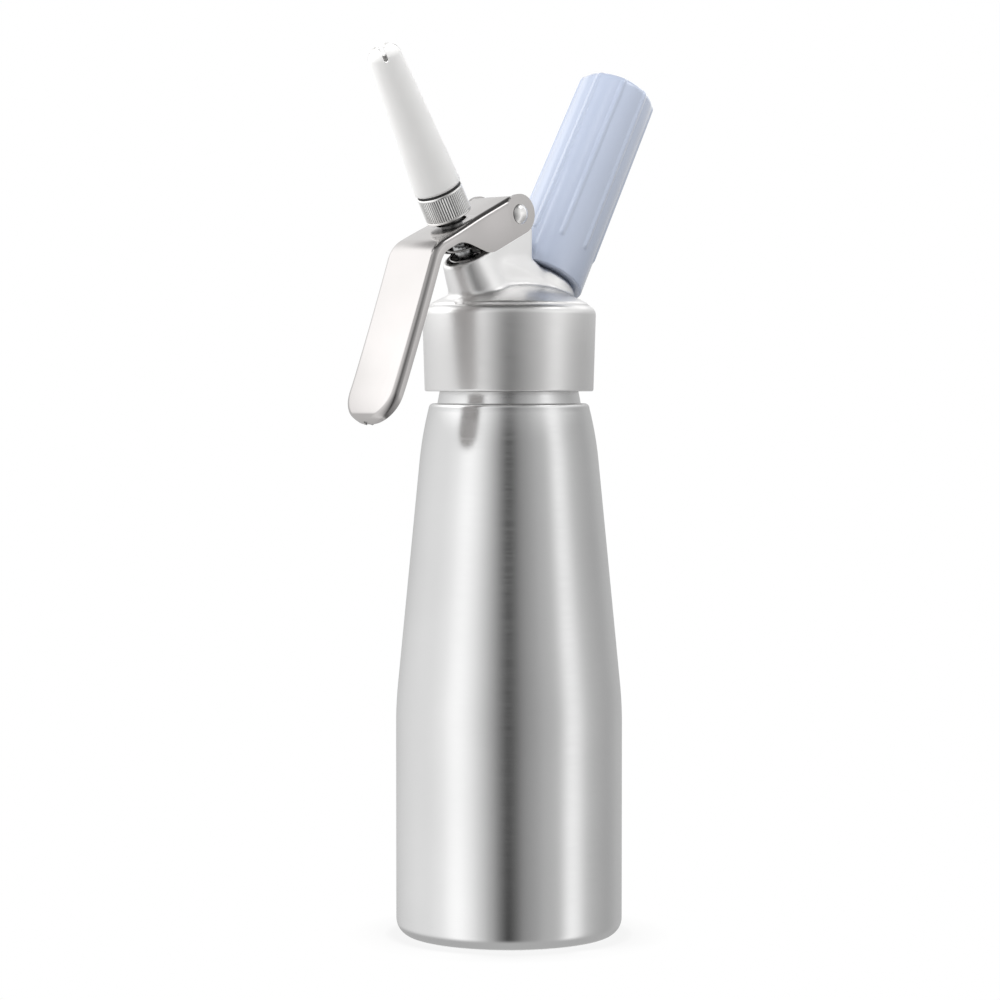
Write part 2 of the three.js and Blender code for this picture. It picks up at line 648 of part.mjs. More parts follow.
// The spring's centre line climbs slowly in the first and last turn and steadily between them.
function springHeights() {
  const low = chamberFloor + FIT + SPRING_WIRE / 2;
  const high = collarBottom - FIT - SPRING_WIRE / 2;
  const openRise = high - low - 2 * SPRING_END_TURN_PITCH;
  const turns = SPRING_OPEN_TURNS + 2;
  const heightAt = (turn) => {
    if (turn <= 1) return low + turn * SPRING_END_TURN_PITCH;
    if (turn >= turns - 1) return high - (turns - turn) * SPRING_END_TURN_PITCH;
    return low + SPRING_END_TURN_PITCH + ((turn - 1) * openRise) / SPRING_OPEN_TURNS;
  };
  return { turns, heightAt };
}

function springLine() {
  const { turns, heightAt } = springHeights();
  const steps = turns * SPRING_STEPS_PER_TURN;
  const line = [];
  for (let i = 0; i <= steps; i++) {
    const turn = i / SPRING_STEPS_PER_TURN;
    const angle = 2 * Math.PI * turn;
    const x = SPRING_MEAN_RADIUS * Math.cos(angle);
    const y = SPRING_MEAN_RADIUS * Math.sin(angle);
    line.push(new THREE.Vector3(x, y, heightAt(turn)));
  }
  return line;
}

// The least air between stretches of the wire that lie at least half a turn apart.
function springGap(line) {
  const apart = SPRING_STEPS_PER_TURN / 2;
  let least = Infinity;
  for (let i = 0; i < line.length; i++)
    for (let j = i + apart; j < line.length; j++) least = Math.min(least, line[i].distanceTo(line[j]));
  return least - SPRING_WIRE;
}

function valveSpring() {
  const line = springLine();
  const gap = springGap(line);
  console.log("valve spring: least gap to itself " + gap.toFixed(2) + " mm");
  if (gap < LEAST_SPRING_GAP) console.log("valve spring: its turns are closer than they should be");
  const places = [];
  const faces = [];
  line.forEach((centre, i) => {
    const outward = new THREE.Vector3(centre.x, centre.y, 0).normalize();
    for (let k = 0; k < SPRING_SIDES; k++) {
      const angle = (2 * Math.PI * k) / SPRING_SIDES;
      const out = (Math.cos(angle) * SPRING_WIRE) / 2;
      const up = (Math.sin(angle) * SPRING_WIRE) / 2;
      places.push(centre.x + outward.x * out, centre.y + outward.y * out, centre.z + up);
    }
    if (i === 0) return;
    for (let k = 0; k < SPRING_SIDES; k++) {
      const next = (k + 1) % SPRING_SIDES;
      const [a, b] = [(i - 1) * SPRING_SIDES + k, (i - 1) * SPRING_SIDES + next];
      const [c, d] = [a + SPRING_SIDES, b + SPRING_SIDES];
      faces.push(a, c, b, b, c, d);
    }
  });
  const last = (line.length - 1) * SPRING_SIDES;
  for (let k = 1; k < SPRING_SIDES - 1; k++) {
    faces.push(0, k, k + 1);
    faces.push(last, last + k + 1, last + k);
  }
  const geometry = new THREE.BufferGeometry();
  geometry.setAttribute("position", new THREE.Float32BufferAttribute(places, 3));
  geometry.setIndex(faces);
  return geometry;
}

function nozzleRing() {
  const low = RING_EDGE_CHAMFER;
  const high = RING_LENGTH - RING_EDGE_CHAMFER;
  const band = RING_RADIUS - RING_BAND_RELIEF;
  const spigotTop = RING_LENGTH + RING_SPIGOT_LENGTH;
  const socket = STEM_RADIUS + FIT;
  const socketTop = STEM_TOP + FIT;
  return turned(
    [
      [socket, 0],
      [RING_RADIUS - RING_EDGE_CHAMFER, 0],
      [RING_RADIUS, low],
      [RING_RADIUS, RING_EDGE_BAND],
      [band, RING_EDGE_BAND],
      [band, RING_LENGTH - RING_EDGE_BAND],
      [RING_RADIUS, RING_LENGTH - RING_EDGE_BAND],
      [RING_RADIUS, high],
      [RING_RADIUS - RING_EDGE_CHAMFER, RING_LENGTH],
      [RING_SPIGOT_RADIUS, RING_LENGTH],
      [RING_SPIGOT_RADIUS, spigotTop],
      [RING_BORE_RADIUS, spigotTop],
      [RING_BORE_RADIUS, socketTop],
      [socket, socketTop],
    ],
    TURN_MEDIUM,
  );
}

function nozzleSeal() {
  const low = RING_LENGTH + SEAM;
  const inner = RING_SPIGOT_RADIUS + FIT;
  const outer = NOZZLE_BASE_RADIUS - NOZZLE_BASE_CHAMFER;
  return tube(inner, outer, low, low + NOZZLE_SEAL_THICKNESS, TURN_MEDIUM);
}

// Nozzle: a tapering moulding whose domed tip is slotted into petals
function nozzle() {
  const top = nozzleFoot + NOZZLE_LENGTH;
  const roundFoot = top - NOZZLE_TIP_ROUND;
  const roundX = NOZZLE_TIP_RADIUS - NOZZLE_TIP_ROUND;
  const middle = nozzleFoot + (2 * NOZZLE_LENGTH) / 3;
  const socket = RING_SPIGOT_RADIUS + FIT;
  const socketTop = RING_LENGTH + RING_SPIGOT_LENGTH + FIT;
  const tipBore = NOZZLE_TIP_RADIUS - NOZZLE_WALL;
  const baseBore = socket - NOZZLE_WALL / 4;
  const outside = [
    [NOZZLE_BASE_RADIUS - NOZZLE_BASE_CHAMFER, nozzleFoot],
    [NOZZLE_BASE_RADIUS, nozzleFoot + NOZZLE_BASE_CHAMFER],
    [NOZZLE_MIDDLE_RADIUS, middle],
    ...arc(roundX, roundFoot, NOZZLE_TIP_ROUND, 0, 90),
  ];
  const mouthBore = roundX - NOZZLE_LIP;
  const mouth = [[mouthBore, top], [mouthBore, top - NOZZLE_WALL / 2], [tipBore, roundFoot]];
  const inside = [...mouth, [baseBore, socketTop], [socket, socketTop], [socket, nozzleFoot]];
  let body = solid(turned([...outside, ...inside], TURN_MEDIUM));
  const slotDepth = NOZZLE_SLOT_DEPTH + OVERRUN;
  const slotLength = 2 * NOZZLE_BASE_RADIUS;
  for (let i = 0; i < NOZZLE_SLOTS; i++) {
    const slot = new THREE.BoxGeometry(slotLength, NOZZLE_SLOT_WIDTH, slotDepth);
    slot.translate(0, 0, top - NOZZLE_SLOT_DEPTH + slotDepth / 2);
    slot.rotateZ(NOZZLE_SLOT_TURN + (Math.PI * i) / NOZZLE_SLOTS);
    body = body.subtract(solid(slot));
  }
  return surface(body);
}

// Lever: one pressed channel that runs from the hinge cheeks down the handle and round its tip

// Stations down the middle of the outer face, in side view, each with its heading and the way left.
function leverStations() {
  const turn = Math.PI / 2 - HANDLE_LEAN - PLATE_SLOPE;
  const tangent = BEND_RADIUS * Math.tan(turn / 2);
  const place = new THREE.Vector2(PIVOT_X, PIVOT_Z);
  place.x -= CHEEK_RADIUS * Math.sin(PLATE_SLOPE);
  place.y += CHEEK_RADIUS * Math.cos(PLATE_SLOPE);
  let heading = Math.PI + PLATE_SLOPE;
  let travelled = 0;
  const stations = [{ x: place.x, z: place.y, heading, travelled }];
  const run = (length, turning, steps) => {
    for (let i = 0; i < steps; i++) {
      const step = length / steps;
      heading += turning / steps / 2;
      place.x += step * Math.cos(heading);
      place.y += step * Math.sin(heading);
      heading += turning / steps / 2;
      travelled += step;
      stations.push({ x: place.x, z: place.y, heading, travelled });
    }
  };
  const endZone = TIP_ROUND_RADIUS;
  run(PLATE_LENGTH - tangent, 0, PLATE_STEPS);
  run(BEND_RADIUS * turn, turn, BEND_STEPS);
  run(HANDLE_LENGTH - tangent, -HANDLE_CURVE, HANDLE_STEPS);
  run(TIP_CURL_LENGTH - endZone, (-TIP_CURL * (TIP_CURL_LENGTH - endZone)) / TIP_CURL_LENGTH, 2);
  run(endZone, (-TIP_CURL * endZone) / TIP_CURL_LENGTH, TIP_STEPS);
  for (const station of stations) station.left = travelled - station.travelled;
  return stations;
}

function flangeDepth(station) {
  const fadeEnd = CHEEK_LENGTH + CHEEK_FADE_LENGTH;
  const fade = THREE.MathUtils.smoothstep(station.travelled, CHEEK_LENGTH, fadeEnd);
  return THREE.MathUtils.lerp(2 * CHEEK_RADIUS, FLANGE_DEPTH, fade);
}

function leverHalf(station) {
  const flareEnd = CHEEK_LENGTH + FLARE_LENGTH;
  const flare = THREE.MathUtils.smoothstep(station.travelled, CHEEK_LENGTH, flareEnd);
  return THREE.MathUtils.lerp(LEVER_WIDTH / 2, HANDLE_WIDTH / 2, flare);
}

// A point of the lever's side view at a depth behind a station of its outer face.
function behind(station, depth) {
  const inward = station.heading + Math.PI / 2;
  return [station.x + depth * Math.cos(inward), station.z + depth * Math.sin(inward)];
}

// A station moved along its own heading.
function along(station, distance) {
  const x = station.x + distance * Math.cos(station.heading);
  const z = station.z + distance * Math.sin(station.heading);
  return { ...station, x, z };
}

// How far a rounded edge has fallen at a distance from its end.
function roundedFall(distance, radius) {
  const within = THREE.MathUtils.clamp(radius - distance, 0, radius);
  return radius - Math.sqrt(radius ** 2 - within ** 2);
}

// A block as wide as the channel less an inset on every side, with rounded edges and a rounded end.
function leverBlock(stations, inset, extraDepth) {
  const fold = LEVER_FOLD_RADIUS - inset / 2;
  const tipRound = TIP_ROUND_RADIUS - inset;
  const places = [];
  const faces = [];
  const used = stations.filter((station) => station.left >= inset);
  const foldAngles = Array.from({ length: FOLD_STEPS + 1 }, (_, i) => (Math.PI / 2) * (i / FOLD_STEPS));
  used.forEach((station, row) => {
    const reach = station.left - inset;
    const half = leverHalf(station) - inset - roundedFall(reach, tipRound);
    const top = inset + roundedFall(reach, fold);
    const side = foldAngles.map((angle) => [
      half - fold + fold * Math.cos(angle),
      top + fold - fold * Math.sin(angle),
    ]);
    const bottom = flangeDepth(station) + extraDepth;
    const otherSide = side.map(([y, depth]) => [-y, depth]).reverse();
    const section = [[half, bottom], ...side, ...otherSide, [-half, bottom]];
    for (const [y, depth] of section) {
      const [x, z] = behind(station, depth);
      places.push(x, y, z);
    }
    const count = section.length;
    if (row === 0) return;
    for (let k = 0; k < count; k++) {
      const next = (k + 1) % count;
      const [a, b] = [(row - 1) * count + k, (row - 1) * count + next];
      faces.push(a, b + count, b, a, a + count, b + count);
    }
  });
  const count = 2 * FOLD_STEPS + 4;
  const last = (used.length - 1) * count;
  for (let k = 1; k < count - 1; k++) {
    faces.push(0, k, k + 1);
    faces.push(last, last + k + 1, last + k);
  }
  const geometry = new THREE.BufferGeometry();
  geometry.setAttribute("position", new THREE.Float32BufferAttribute(places, 3));
  geometry.setIndex(faces);
  return geometry;
}

function lever() {
  const stations = leverStations();
  const [start] = stations;
  const cheekEnd = crossRod(CHEEK_RADIUS, LEVER_WIDTH, PIVOT_X, PIVOT_Z, TURN_MEDIUM);
  const before = along(start, -CHEEK_RADIUS - OVERRUN);
  const plateEnd = along(start, PLATE_END_SET);
  const openEnd = [
    behind(plateEnd, -OVERRUN),
    behind(plateEnd, CHEEK_RADIUS),
    behind(before, CHEEK_RADIUS),
    behind(before, -OVERRUN),
  ];
  const pivotHole = crossRod(RIVET_RADIUS + FIT, LEVER_WIDTH + OVERRUN, PIVOT_X, PIVOT_Z, TURN_SMALL);
  const stemHole = rod(STEM_HOLE_RADIUS, collarBottom, OVERRUN, TURN_MEDIUM);
  const body = solid(leverBlock(stations, 0, 0))
    .add(solid(cheekEnd))
    .subtract(solid(leverBlock([before, ...stations], LEVER_SHEET, OVERRUN)))
    .subtract(solid(sideCut(openEnd, 2 * cheekInside)))
    .subtract(solid(pivotHole))
    .subtract(solid(stemHole, onValveLine));
  return surface(body);
}

function leverRivet() {
  const half = LEVER_WIDTH / 2 + SEAM;
  const domeRadius = (RIVET_HEAD_RADIUS ** 2 + RIVET_HEAD_HEIGHT ** 2) / (2 * RIVET_HEAD_HEIGHT);
  const centre = half + RIVET_HEAD_HEIGHT - domeRadius;
  const from = THREE.MathUtils.radToDeg(Math.acos(RIVET_HEAD_RADIUS / domeRadius));
  const dome = arc(0, centre, domeRadius, from, 90);
  const opposite = dome.map(([radius, height]) => [radius, -height]).reverse();
  const outline = [...opposite, [RIVET_RADIUS, -half], [RIVET_RADIUS, half], ...dome];
  return turned(outline, TURN_SMALL).rotateX(Math.PI / 2).translate(PIVOT_X, 0, PIVOT_Z);
}

// Charger line, heights measured up its axis from the holder's rim

// The holder's outside: a tapering round shape with thin raised ribs that start above the rim
// and die out in the rounding of the top.
function holderOutside() {
  const pitch = (2 * Math.PI) / HOLDER_RIBS;
  const ribHalf = HOLDER_RIB_WIDTH / 2 / HOLDER_RIM_RADIUS;
  const around = [];
  for (let rib = 0; rib < HOLDER_RIBS; rib++) {
    const middle = HOLDER_RIB_TURN + rib * pitch;
    for (const share of RIB_SIDE_SHARES) {
      const rise = (1 + Math.cos(Math.PI * share)) / 2;
      around.push([middle + share * ribHalf, rise]);
    }
    for (let i = 1; i < HOLDER_GAP_STEPS; i++) {
      around.push([middle + ribHalf + (i / HOLDER_GAP_STEPS) * (pitch - 2 * ribHalf), 0]);
    }
  }
  const taper = (HOLDER_RIM_RADIUS - HOLDER_TOP_RADIUS) / HOLDER_LENGTH;
  const roundFoot = HOLDER_LENGTH - HOLDER_TOP_ROUND;
  const roundX = HOLDER_TOP_RADIUS - HOLDER_TOP_ROUND;
  const ribEnd = HOLDER_RIB_START + HOLDER_RIB_RUNOUT;
  const rows = [[HOLDER_RIM_RADIUS - HOLDER_RIM_ROUND, 0], [HOLDER_RIM_RADIUS, HOLDER_RIM_ROUND]];
  for (let i = 0; i <= 2; i++) {
    const height = HOLDER_RIB_START + (i / 2) * HOLDER_RIB_RUNOUT;
    rows.push([HOLDER_RIM_RADIUS - taper * height, height]);
  }
  rows.push(...arc(roundX, roundFoot, HOLDER_TOP_ROUND, 0, 90));
  const places = [0, 0, 0];
  rows.forEach(([radius, height]) => {
    const run = THREE.MathUtils.smoothstep(height, HOLDER_RIB_START, ribEnd);
    const fade = Math.min(run, (radius - roundX) / HOLDER_TOP_ROUND);
    for (const [angle, rise] of around) {
      const reach = radius + HOLDER_RIB_HEIGHT * fade * rise;
      places.push(reach * Math.cos(angle), reach * Math.sin(angle), height);
    }
  });
  places.push(0, 0, HOLDER_LENGTH);
  const top = places.length / 3 - 1;
  const count = around.length;
  const faces = [];
  for (let k = 0; k < count; k++) {
    const next = (k + 1) % count;
    faces.push(0, 1 + next, 1 + k);
    for (let row = 1; row < rows.length; row++) {
      const [a, b] = [1 + (row - 1) * count + k, 1 + (row - 1) * count + next];
      faces.push(a, b, b + count, a, b + count, a + count);
    }
    faces.push(top, top - count + k, top - count + next);
  }
  const geometry = new THREE.BufferGeometry();
  geometry.setAttribute("position", new THREE.Float32BufferAttribute(places, 3));
  geometry.setIndex(faces);
  return geometry;
}

function chargerHolder() {
  const threadRadius = STUB_RADIUS + THREAD_FIT;
  const boreRadius = CAPSULE_RADIUS + FIT + SEAM;
  const boreTop = capsuleTop + FIT + SEAM;
  const threadTop = Math.max(HOLDER_THREAD_DEPTH, stubTop + OVERRUN);
  const roundX = boreRadius - CAPSULE_END_ROUND;
  const boreEnd = arc(roundX, boreTop - CAPSULE_END_ROUND, CAPSULE_END_ROUND, 0, 90);
  const cavity = [
    [0, -OVERRUN],
    [threadRadius, -OVERRUN],
    [threadRadius, threadTop],
    [boreRadius, threadTop + threadRadius - boreRadius],
    [boreRadius, boreTop - CAPSULE_END_ROUND],
    ...boreEnd.slice(1),
    [0, boreTop],
  ];
  return surface(solid(holderOutside()).subtract(solid(turned(cavity, TURN_MEDIUM))));
}

function capsule() {
  const shoulderFoot = capsuleFoot + CAPSULE_NECK_LENGTH;
  const shoulderTop = shoulderFoot + CAPSULE_SHOULDER_LENGTH;
  const cornerX = CAPSULE_RADIUS - CAPSULE_END_ROUND;
  const outside = [
    [CAPSULE_NECK_RADIUS, capsuleFoot],
    ...sweep(
      [CAPSULE_NECK_RADIUS, shoulderFoot],
      [CAPSULE_RADIUS, shoulderFoot],
      [CAPSULE_RADIUS, shoulderTop],
    ),
    ...arc(cornerX, capsuleTop - CAPSULE_END_ROUND, CAPSULE_END_ROUND, 0, 90),
  ];
  const inside = beside(outside, CAPSULE_WALL).reverse();
  const neckBore = CAPSULE_NECK_RADIUS - CAPSULE_WALL;
  inside[inside.length - 1] = [neckBore, capsuleFoot];
  const roof = [[0, capsuleTop], [0, capsuleTop - CAPSULE_WALL]];
  const outline = [...outside, ...roof, ...inside.slice(1)];
  return turned(outline, TURN_MEDIUM);
}

function capsuleSeal() {
  const hole = PIN_RADIUS + FIT;
  const outer = CAPSULE_NECK_RADIUS - CAPSULE_WALL - FIT;
  return tube(hole, outer, capsuleFoot + SEAM, capsuleFoot + CAP_LENGTH, TURN_SMALL);
}

function pinCarrier() {
  const low = inletFloor + FIT;
  const recessTop = low + PIN_FLANGE_THICKNESS + FIT;
  const recess = PIN_FLANGE_RADIUS + FIT;
  const outer = INLET_RADIUS - FIT;
  const hole = PIN_RADIUS + FIT;
  return turned(
    [
      [recess, low],
      [outer, low],
      [outer, carrierTop],
      [hole, carrierTop],
      [hole, recessTop],
      [recess, recessTop],
    ],
    TURN_SMALL,
  );
}

function piercingPin() {
  const low = inletFloor + FIT;
  const tip = gasketTop + PIN_REACH;
  return turned(
    [
      [PIN_BORE_RADIUS, low],
      [PIN_FLANGE_RADIUS, low],
      [PIN_FLANGE_RADIUS, low + PIN_FLANGE_THICKNESS],
      [PIN_RADIUS, low + PIN_FLANGE_THICKNESS],
      [PIN_RADIUS, tip - PIN_POINT_LENGTH],
      [(PIN_BORE_RADIUS + PIN_RADIUS) / 2, tip],
      [PIN_BORE_RADIUS, tip],
    ],
    TURN_SMALL,
  );
}

function inletGasket() {
  const low = carrierTop + FIT;
  return tube(PIN_RADIUS + THREAD_FIT, INLET_RADIUS - FIT, low, gasketTop, TURN_SMALL);
}

// Check valve under the head: a rubber nose with a slit, held in its pocket by a brass ring
function checkValve() {
  const flange = CHECK_POCKET_RADIUS - FIT;
  const noseTip = checkFlangeBottom - CHECK_NOSE_LENGTH;
  return turned(
    [
      [CHECK_SLIT_RADIUS, noseTip],
      [CHECK_NOSE_TIP_RADIUS, noseTip],
      [CHECK_NOSE_RADIUS, checkFlangeBottom],
      [flange, checkFlangeBottom],
      [flange, checkFlangeTop],
      [CHECK_SLIT_RADIUS, checkFlangeTop],
    ],
    TURN_SMALL,
  ).translate(CHECK_X, 0, 0);
}

function checkRing() {
  const top = checkFlangeBottom - FIT;
  const inner = CHECK_NOSE_RADIUS + FIT;
  return tube(inner, CHECK_POCKET_RADIUS - FIT, checkBossFoot, top, TURN_SMALL).translate(CHECK_X, 0, 0);
}

addPiece(dispenser, "bottle", bottle(), brushed);
addPiece(dispenser, "head", head(), cast);
addPiece(dispenser, "head_gasket", headGasket(), silicone);
addPiece(dispenser, "lever", lever(), pressed);
addPiece(dispenser, "lever_rivet", leverRivet(), steel);
addPiece(dispenser, "check_valve", checkValve(), rubber);
addPiece(dispenser, "check_valve_ring", checkRing(), brass);
addPiece(valveLine, "valve_stem", valveStem(), steel);
addPiece(valveLine, "valve_seal", valveSeal(), rubber);
addPiece(valveLine, "stem_o_ring", stemORing(), rubber);
addPiece(valveLine, "spring_collar", springCollar(), steel);
addPiece(valveLine, "valve_spring", valveSpring(), steel);
addPiece(valveLine, "nozzle_ring", nozzleRing(), pressed);
addPiece(valveLine, "nozzle_seal", nozzleSeal(), rubber);
addPiece(valveLine, "nozzle", nozzle(), white);
addPiece(chargerLine, "pin_carrier", pinCarrier(), brass);
addPiece(chargerLine, "piercing_pin", piercingPin(), steel);
addPiece(chargerLine, "inlet_gasket", inletGasket(), rubber);
addPiece(chargerLine, "charger_capsule", capsule(), steel);
addPiece(chargerLine, "charger_seal", capsuleSeal(), pressed);
addPiece(chargerLine, "charger_holder", chargerHolder(), blue);

export default dispenser;
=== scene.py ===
from functools import partial
from math import acos, cos, degrees, hypot, pi, radians, sin, sqrt, tan

import bmesh
import bpy
import numpy as np
from mathutils import Matrix, Vector


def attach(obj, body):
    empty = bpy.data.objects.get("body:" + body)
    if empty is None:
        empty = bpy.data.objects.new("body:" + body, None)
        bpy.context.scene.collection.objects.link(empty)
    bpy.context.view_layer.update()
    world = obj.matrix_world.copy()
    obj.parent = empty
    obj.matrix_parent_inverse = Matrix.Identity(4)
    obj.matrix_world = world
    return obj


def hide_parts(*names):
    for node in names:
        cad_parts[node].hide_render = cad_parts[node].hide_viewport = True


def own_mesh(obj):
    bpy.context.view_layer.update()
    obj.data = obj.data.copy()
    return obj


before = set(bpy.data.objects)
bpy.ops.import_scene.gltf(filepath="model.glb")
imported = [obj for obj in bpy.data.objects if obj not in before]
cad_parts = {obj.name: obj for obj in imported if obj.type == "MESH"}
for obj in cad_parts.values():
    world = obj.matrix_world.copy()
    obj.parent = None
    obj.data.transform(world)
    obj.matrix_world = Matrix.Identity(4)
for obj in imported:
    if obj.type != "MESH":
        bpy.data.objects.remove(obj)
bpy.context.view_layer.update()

# Bottle: one drawn aluminium shell, straight below and tapered above, brushed while it turns
# on a lathe. Its wall runs on into a plain neck with a rolled thread for the head.
MM = 0.001
bottle_radius = 40.0
bottle_wall = 1.6
base_corner = 6.0
taper_start = 82.0
taper_softness = 7.0
taper_end = 168.0
taper_end_radius = 31.6
shoulder = 188.2
shoulder_radius = 28.4
shoulder_edge = 1.8
neck_foot_radius = 25.3
neck_foot_rise = 5.4
neck_radius = 24.3
mouth = 213.2
neck_thread_pitch = 4.0
neck_thread_low = 198.0
neck_thread_turns = 3.0
neck_thread_section = 0.72
lip_round = 0.6


def arc(x, y, radius, start, end, steps=8):
    """Points on an arc about (x, y), from one angle to another in degrees."""
    angles = [radians(start + (end - start) * i / steps) for i in range(steps + 1)]
    return [(x + radius * cos(a), y + radius * sin(a)) for a in angles]


def sweep(first, corner, last, steps=12):
    """Points on a curve that leaves first towards corner and reaches last from it."""
    line = []
    for i in range(steps + 1):
        t = i / steps
        a, b, c = (1 - t) ** 2, 2 * t * (1 - t), t * t
        line.append(tuple(a * p + b * q + c * r for p, q, r in zip(first, corner, last)))
    return line


def beside(line, distance):
    """The same line moved to its left, for the inner face of a wall."""
    moved = []
    for i, (x, y) in enumerate(line):
        before, after = line[max(i - 1, 0)], line[min(i + 1, len(line) - 1)]
        dx, dy = after[0] - before[0], after[1] - before[1]
        run = hypot(dx, dy)
        moved.append((x - dy / run * distance, y + dx / run * distance))
    return moved


def placed(name, data):
    """A new object in the scene."""
    piece = bpy.data.objects.new(name, data)
    bpy.context.scene.collection.objects.link(piece)
    return piece


def smoothed(mesh, sharp):
    """Shades a mesh smooth, but for edges where it turns by more than this many degrees."""
    mesh.shade_smooth()
    mesh.set_sharp_from_angle(angle=radians(sharp))
    return mesh


def finished(name, points, faces, place=None):
    """A smooth-shaded mesh object from points in millimetres, with its place in its mesh."""
    mesh = bpy.data.meshes.new(name)
    turn = place or Matrix.Identity(4)
    mesh.from_pydata([turn @ (Vector(p) * MM) for p in points], [], faces)
    mesh.validate()
    return placed(name, smoothed(mesh, 35))


def turned(name, outline, around=160, place=None, solid=True):
    """A turned piece, or an open skin, from (radius, height) anticlockwise with the radius to the right."""
    points, rows = [], []
    for radius, height in outline:
        if radius < 1e-6:
            rows.append([len(points)] * around)
            points.append((0, 0, height))
            continue
        rows.append(list(range(len(points), len(points) + around)))
        for k in range(around):
            angle = 2 * pi * k / around
            points.append((radius * cos(angle), radius * sin(angle), height))
    looped = solid and (outline[0][0] > 1e-6 or outline[-1][0] > 1e-6)
    pairs = list(zip(rows, rows[1:] + rows[:1])) if looped else list(zip(rows, rows[1:]))
    faces = []
    for low, high in pairs:
        for k in range(around):
            n = (k + 1) % around
            ring = [low[k], low[n], high[n], high[k]]
            face = [v for i, v in enumerate(ring) if v != ring[i - 1]]
            if len(face) > 2:
                faces.append(face)
    return finished(name, points, faces, place)


def baked(piece, modifier, material=None, place=None):
    """Makes a modifier's result the piece's own mesh, with this one material or with no slot at all."""
    graph = bpy.context.evaluated_depsgraph_get()
    mesh = bpy.data.meshes.new_from_object(piece.evaluated_get(graph))
    if place:
        mesh.transform(place)
    mesh.materials.clear()
    mesh.polygons.foreach_set("material_index", [0] * len(mesh.polygons))
    if material:
        mesh.materials.append(material)
    piece.modifiers.remove(modifier)
    piece.data = mesh
    return piece


def formed(piece, tree, material, place=None, **sizes):
    """The piece as a geometry tree shapes it with these sizes, with its place in its mesh."""
    modifier = piece.modifiers.new("form", "NODES")
    modifier.node_group = tree
    values = {"Material": material, **sizes}
    for item in tree.interface.items_tree:
        name = item.name.replace(" ", "_")
        if item.in_out == "INPUT" and name in values:
            modifier[item.identifier] = values[name]
    return baked(piece, modifier, material, place)


def made(tree, name, material, place=None, **sizes):
    """The plain mesh that a geometry tree makes with these sizes, as an object."""
    return formed(placed(name, bpy.data.meshes.new(name)), tree, material, place, **sizes)


def fed(socket, value):
    """Gives a socket a plain value, or joins it to another socket or to a node's first output."""
    if isinstance(value, bpy.types.Node):
        value = value.outputs[0]
    if isinstance(value, bpy.types.NodeSocket):
        socket.id_data.links.new(value, socket)
    else:
        socket.default_value = value


def with_values(node, **values):
    """Sets a node: a name with a capital is a socket's, _ for a space, and any other is a setting's."""
    for name, value in values.items():
        if name[0].isupper():
            fed(node.inputs[name.replace("_", " ")], value)
        else:
            setattr(node, name, value)
    return node


def node_in(tree, kind, **values):
    return with_values(tree.nodes.new(kind), **values)


def worked_out(tree, operation, *values, clamp=False):
    """The result of a maths node that works on numbers and on other nodes."""
    node = node_in(tree, "ShaderNodeMath", operation=operation, use_clamp=clamp)
    for socket, value in zip(node.inputs, values):
        fed(socket, value)
    return node.outputs[0]


def mixed(tree, share, first, second):
    """A colour that goes from the first to the second as the share rises."""
    mix = node_in(tree, "ShaderNodeMix", data_type="RGBA", Factor=share, A=first, B=second)
    return mix.outputs["Result"]


def new_group(name, inputs, outputs=None):
    """A node group of a shader, or of geometry if no outputs are listed: its tree, what the tree is
    given and what it gives. The sockets are listed by type."""
    tree = bpy.data.node_groups.new(name, "ShaderNodeTree" if outputs else "GeometryNodeTree")
    for way, sockets in (("INPUT", inputs), ("OUTPUT", outputs or {"Geometry": "Geometry"})):
        for sort, names in sockets.items():
            for socket in names.split(", "):
                tree.interface.new_socket(socket, in_out=way, socket_type=f"NodeSocket{sort}")
    return tree, tree.nodes.new("NodeGroupInput").outputs, tree.nodes.new("NodeGroupOutput").inputs


def ended(tree, geometry, given, out):
    """Ends a geometry tree: its instances are made real and all of it takes the given material."""
    real = node_in(tree, "GeometryNodeRealizeInstances", Geometry=geometry)
    fed(out[0], node_in(tree, "GeometryNodeSetMaterial", Geometry=real, Material=given["Material"]))
    return tree


def helix_tree():
    """A wire or a thread ridge round Z, whose first and last turn can have a pitch of their own."""
    tree, given, out = new_group("helix", {
        "Float": "Radius, Low, Turns, Pitch, End Pitch, Section, Run Out", "Int": "Steps, Sides",
        "Material": "Material"})
    calc = partial(worked_out, tree)
    spiral = node_in(
        tree, "GeometryNodeCurveSpiral", Resolution=given["Steps"], Rotations=given["Turns"],
        Start_Radius=given["Radius"], End_Radius=given["Radius"], Height=0)
    turn = calc("MULTIPLY", node_in(tree, "GeometryNodeSplineParameter").outputs["Factor"], given["Turns"])
    left = calc("SUBTRACT", given["Turns"], turn)
    first = calc("MINIMUM", turn, 1)
    last = calc("SUBTRACT", 1, calc("MINIMUM", left, 1))
    between = calc("SUBTRACT", turn, calc("ADD", first, last))
    ends = calc("MULTIPLY", calc("ADD", first, last), given["End Pitch"])
    climb = calc("ADD", ends, calc("MULTIPLY", between, given["Pitch"]))
    lift = node_in(tree, "ShaderNodeCombineXYZ", Z=calc("ADD", climb, given["Low"]))
    raised = node_in(tree, "GeometryNodeSetPosition", Geometry=spiral, Offset=lift)
    fade = calc("DIVIDE", calc("MINIMUM", turn, left), given["Run Out"], clamp=True)
    fuller = calc("ADD", calc("MULTIPLY", fade, 0.9), 0.1)
    thick = node_in(tree, "GeometryNodeSetCurveRadius", Curve=raised, Radius=fuller)
    section = node_in(
        tree, "GeometryNodeCurvePrimitiveCircle", Resolution=given["Sides"], Radius=given["Section"])
    skin = node_in(
        tree, "GeometryNodeCurveToMesh", Curve=thick, Profile_Curve=section, Fill_Caps=True)
    if "Scale" in skin.inputs:
        fed(skin.inputs["Scale"], fuller)
    smooth = node_in(tree, "GeometryNodeSetShadeSmooth", Geometry=skin)
    return ended(tree, smooth, given, out)


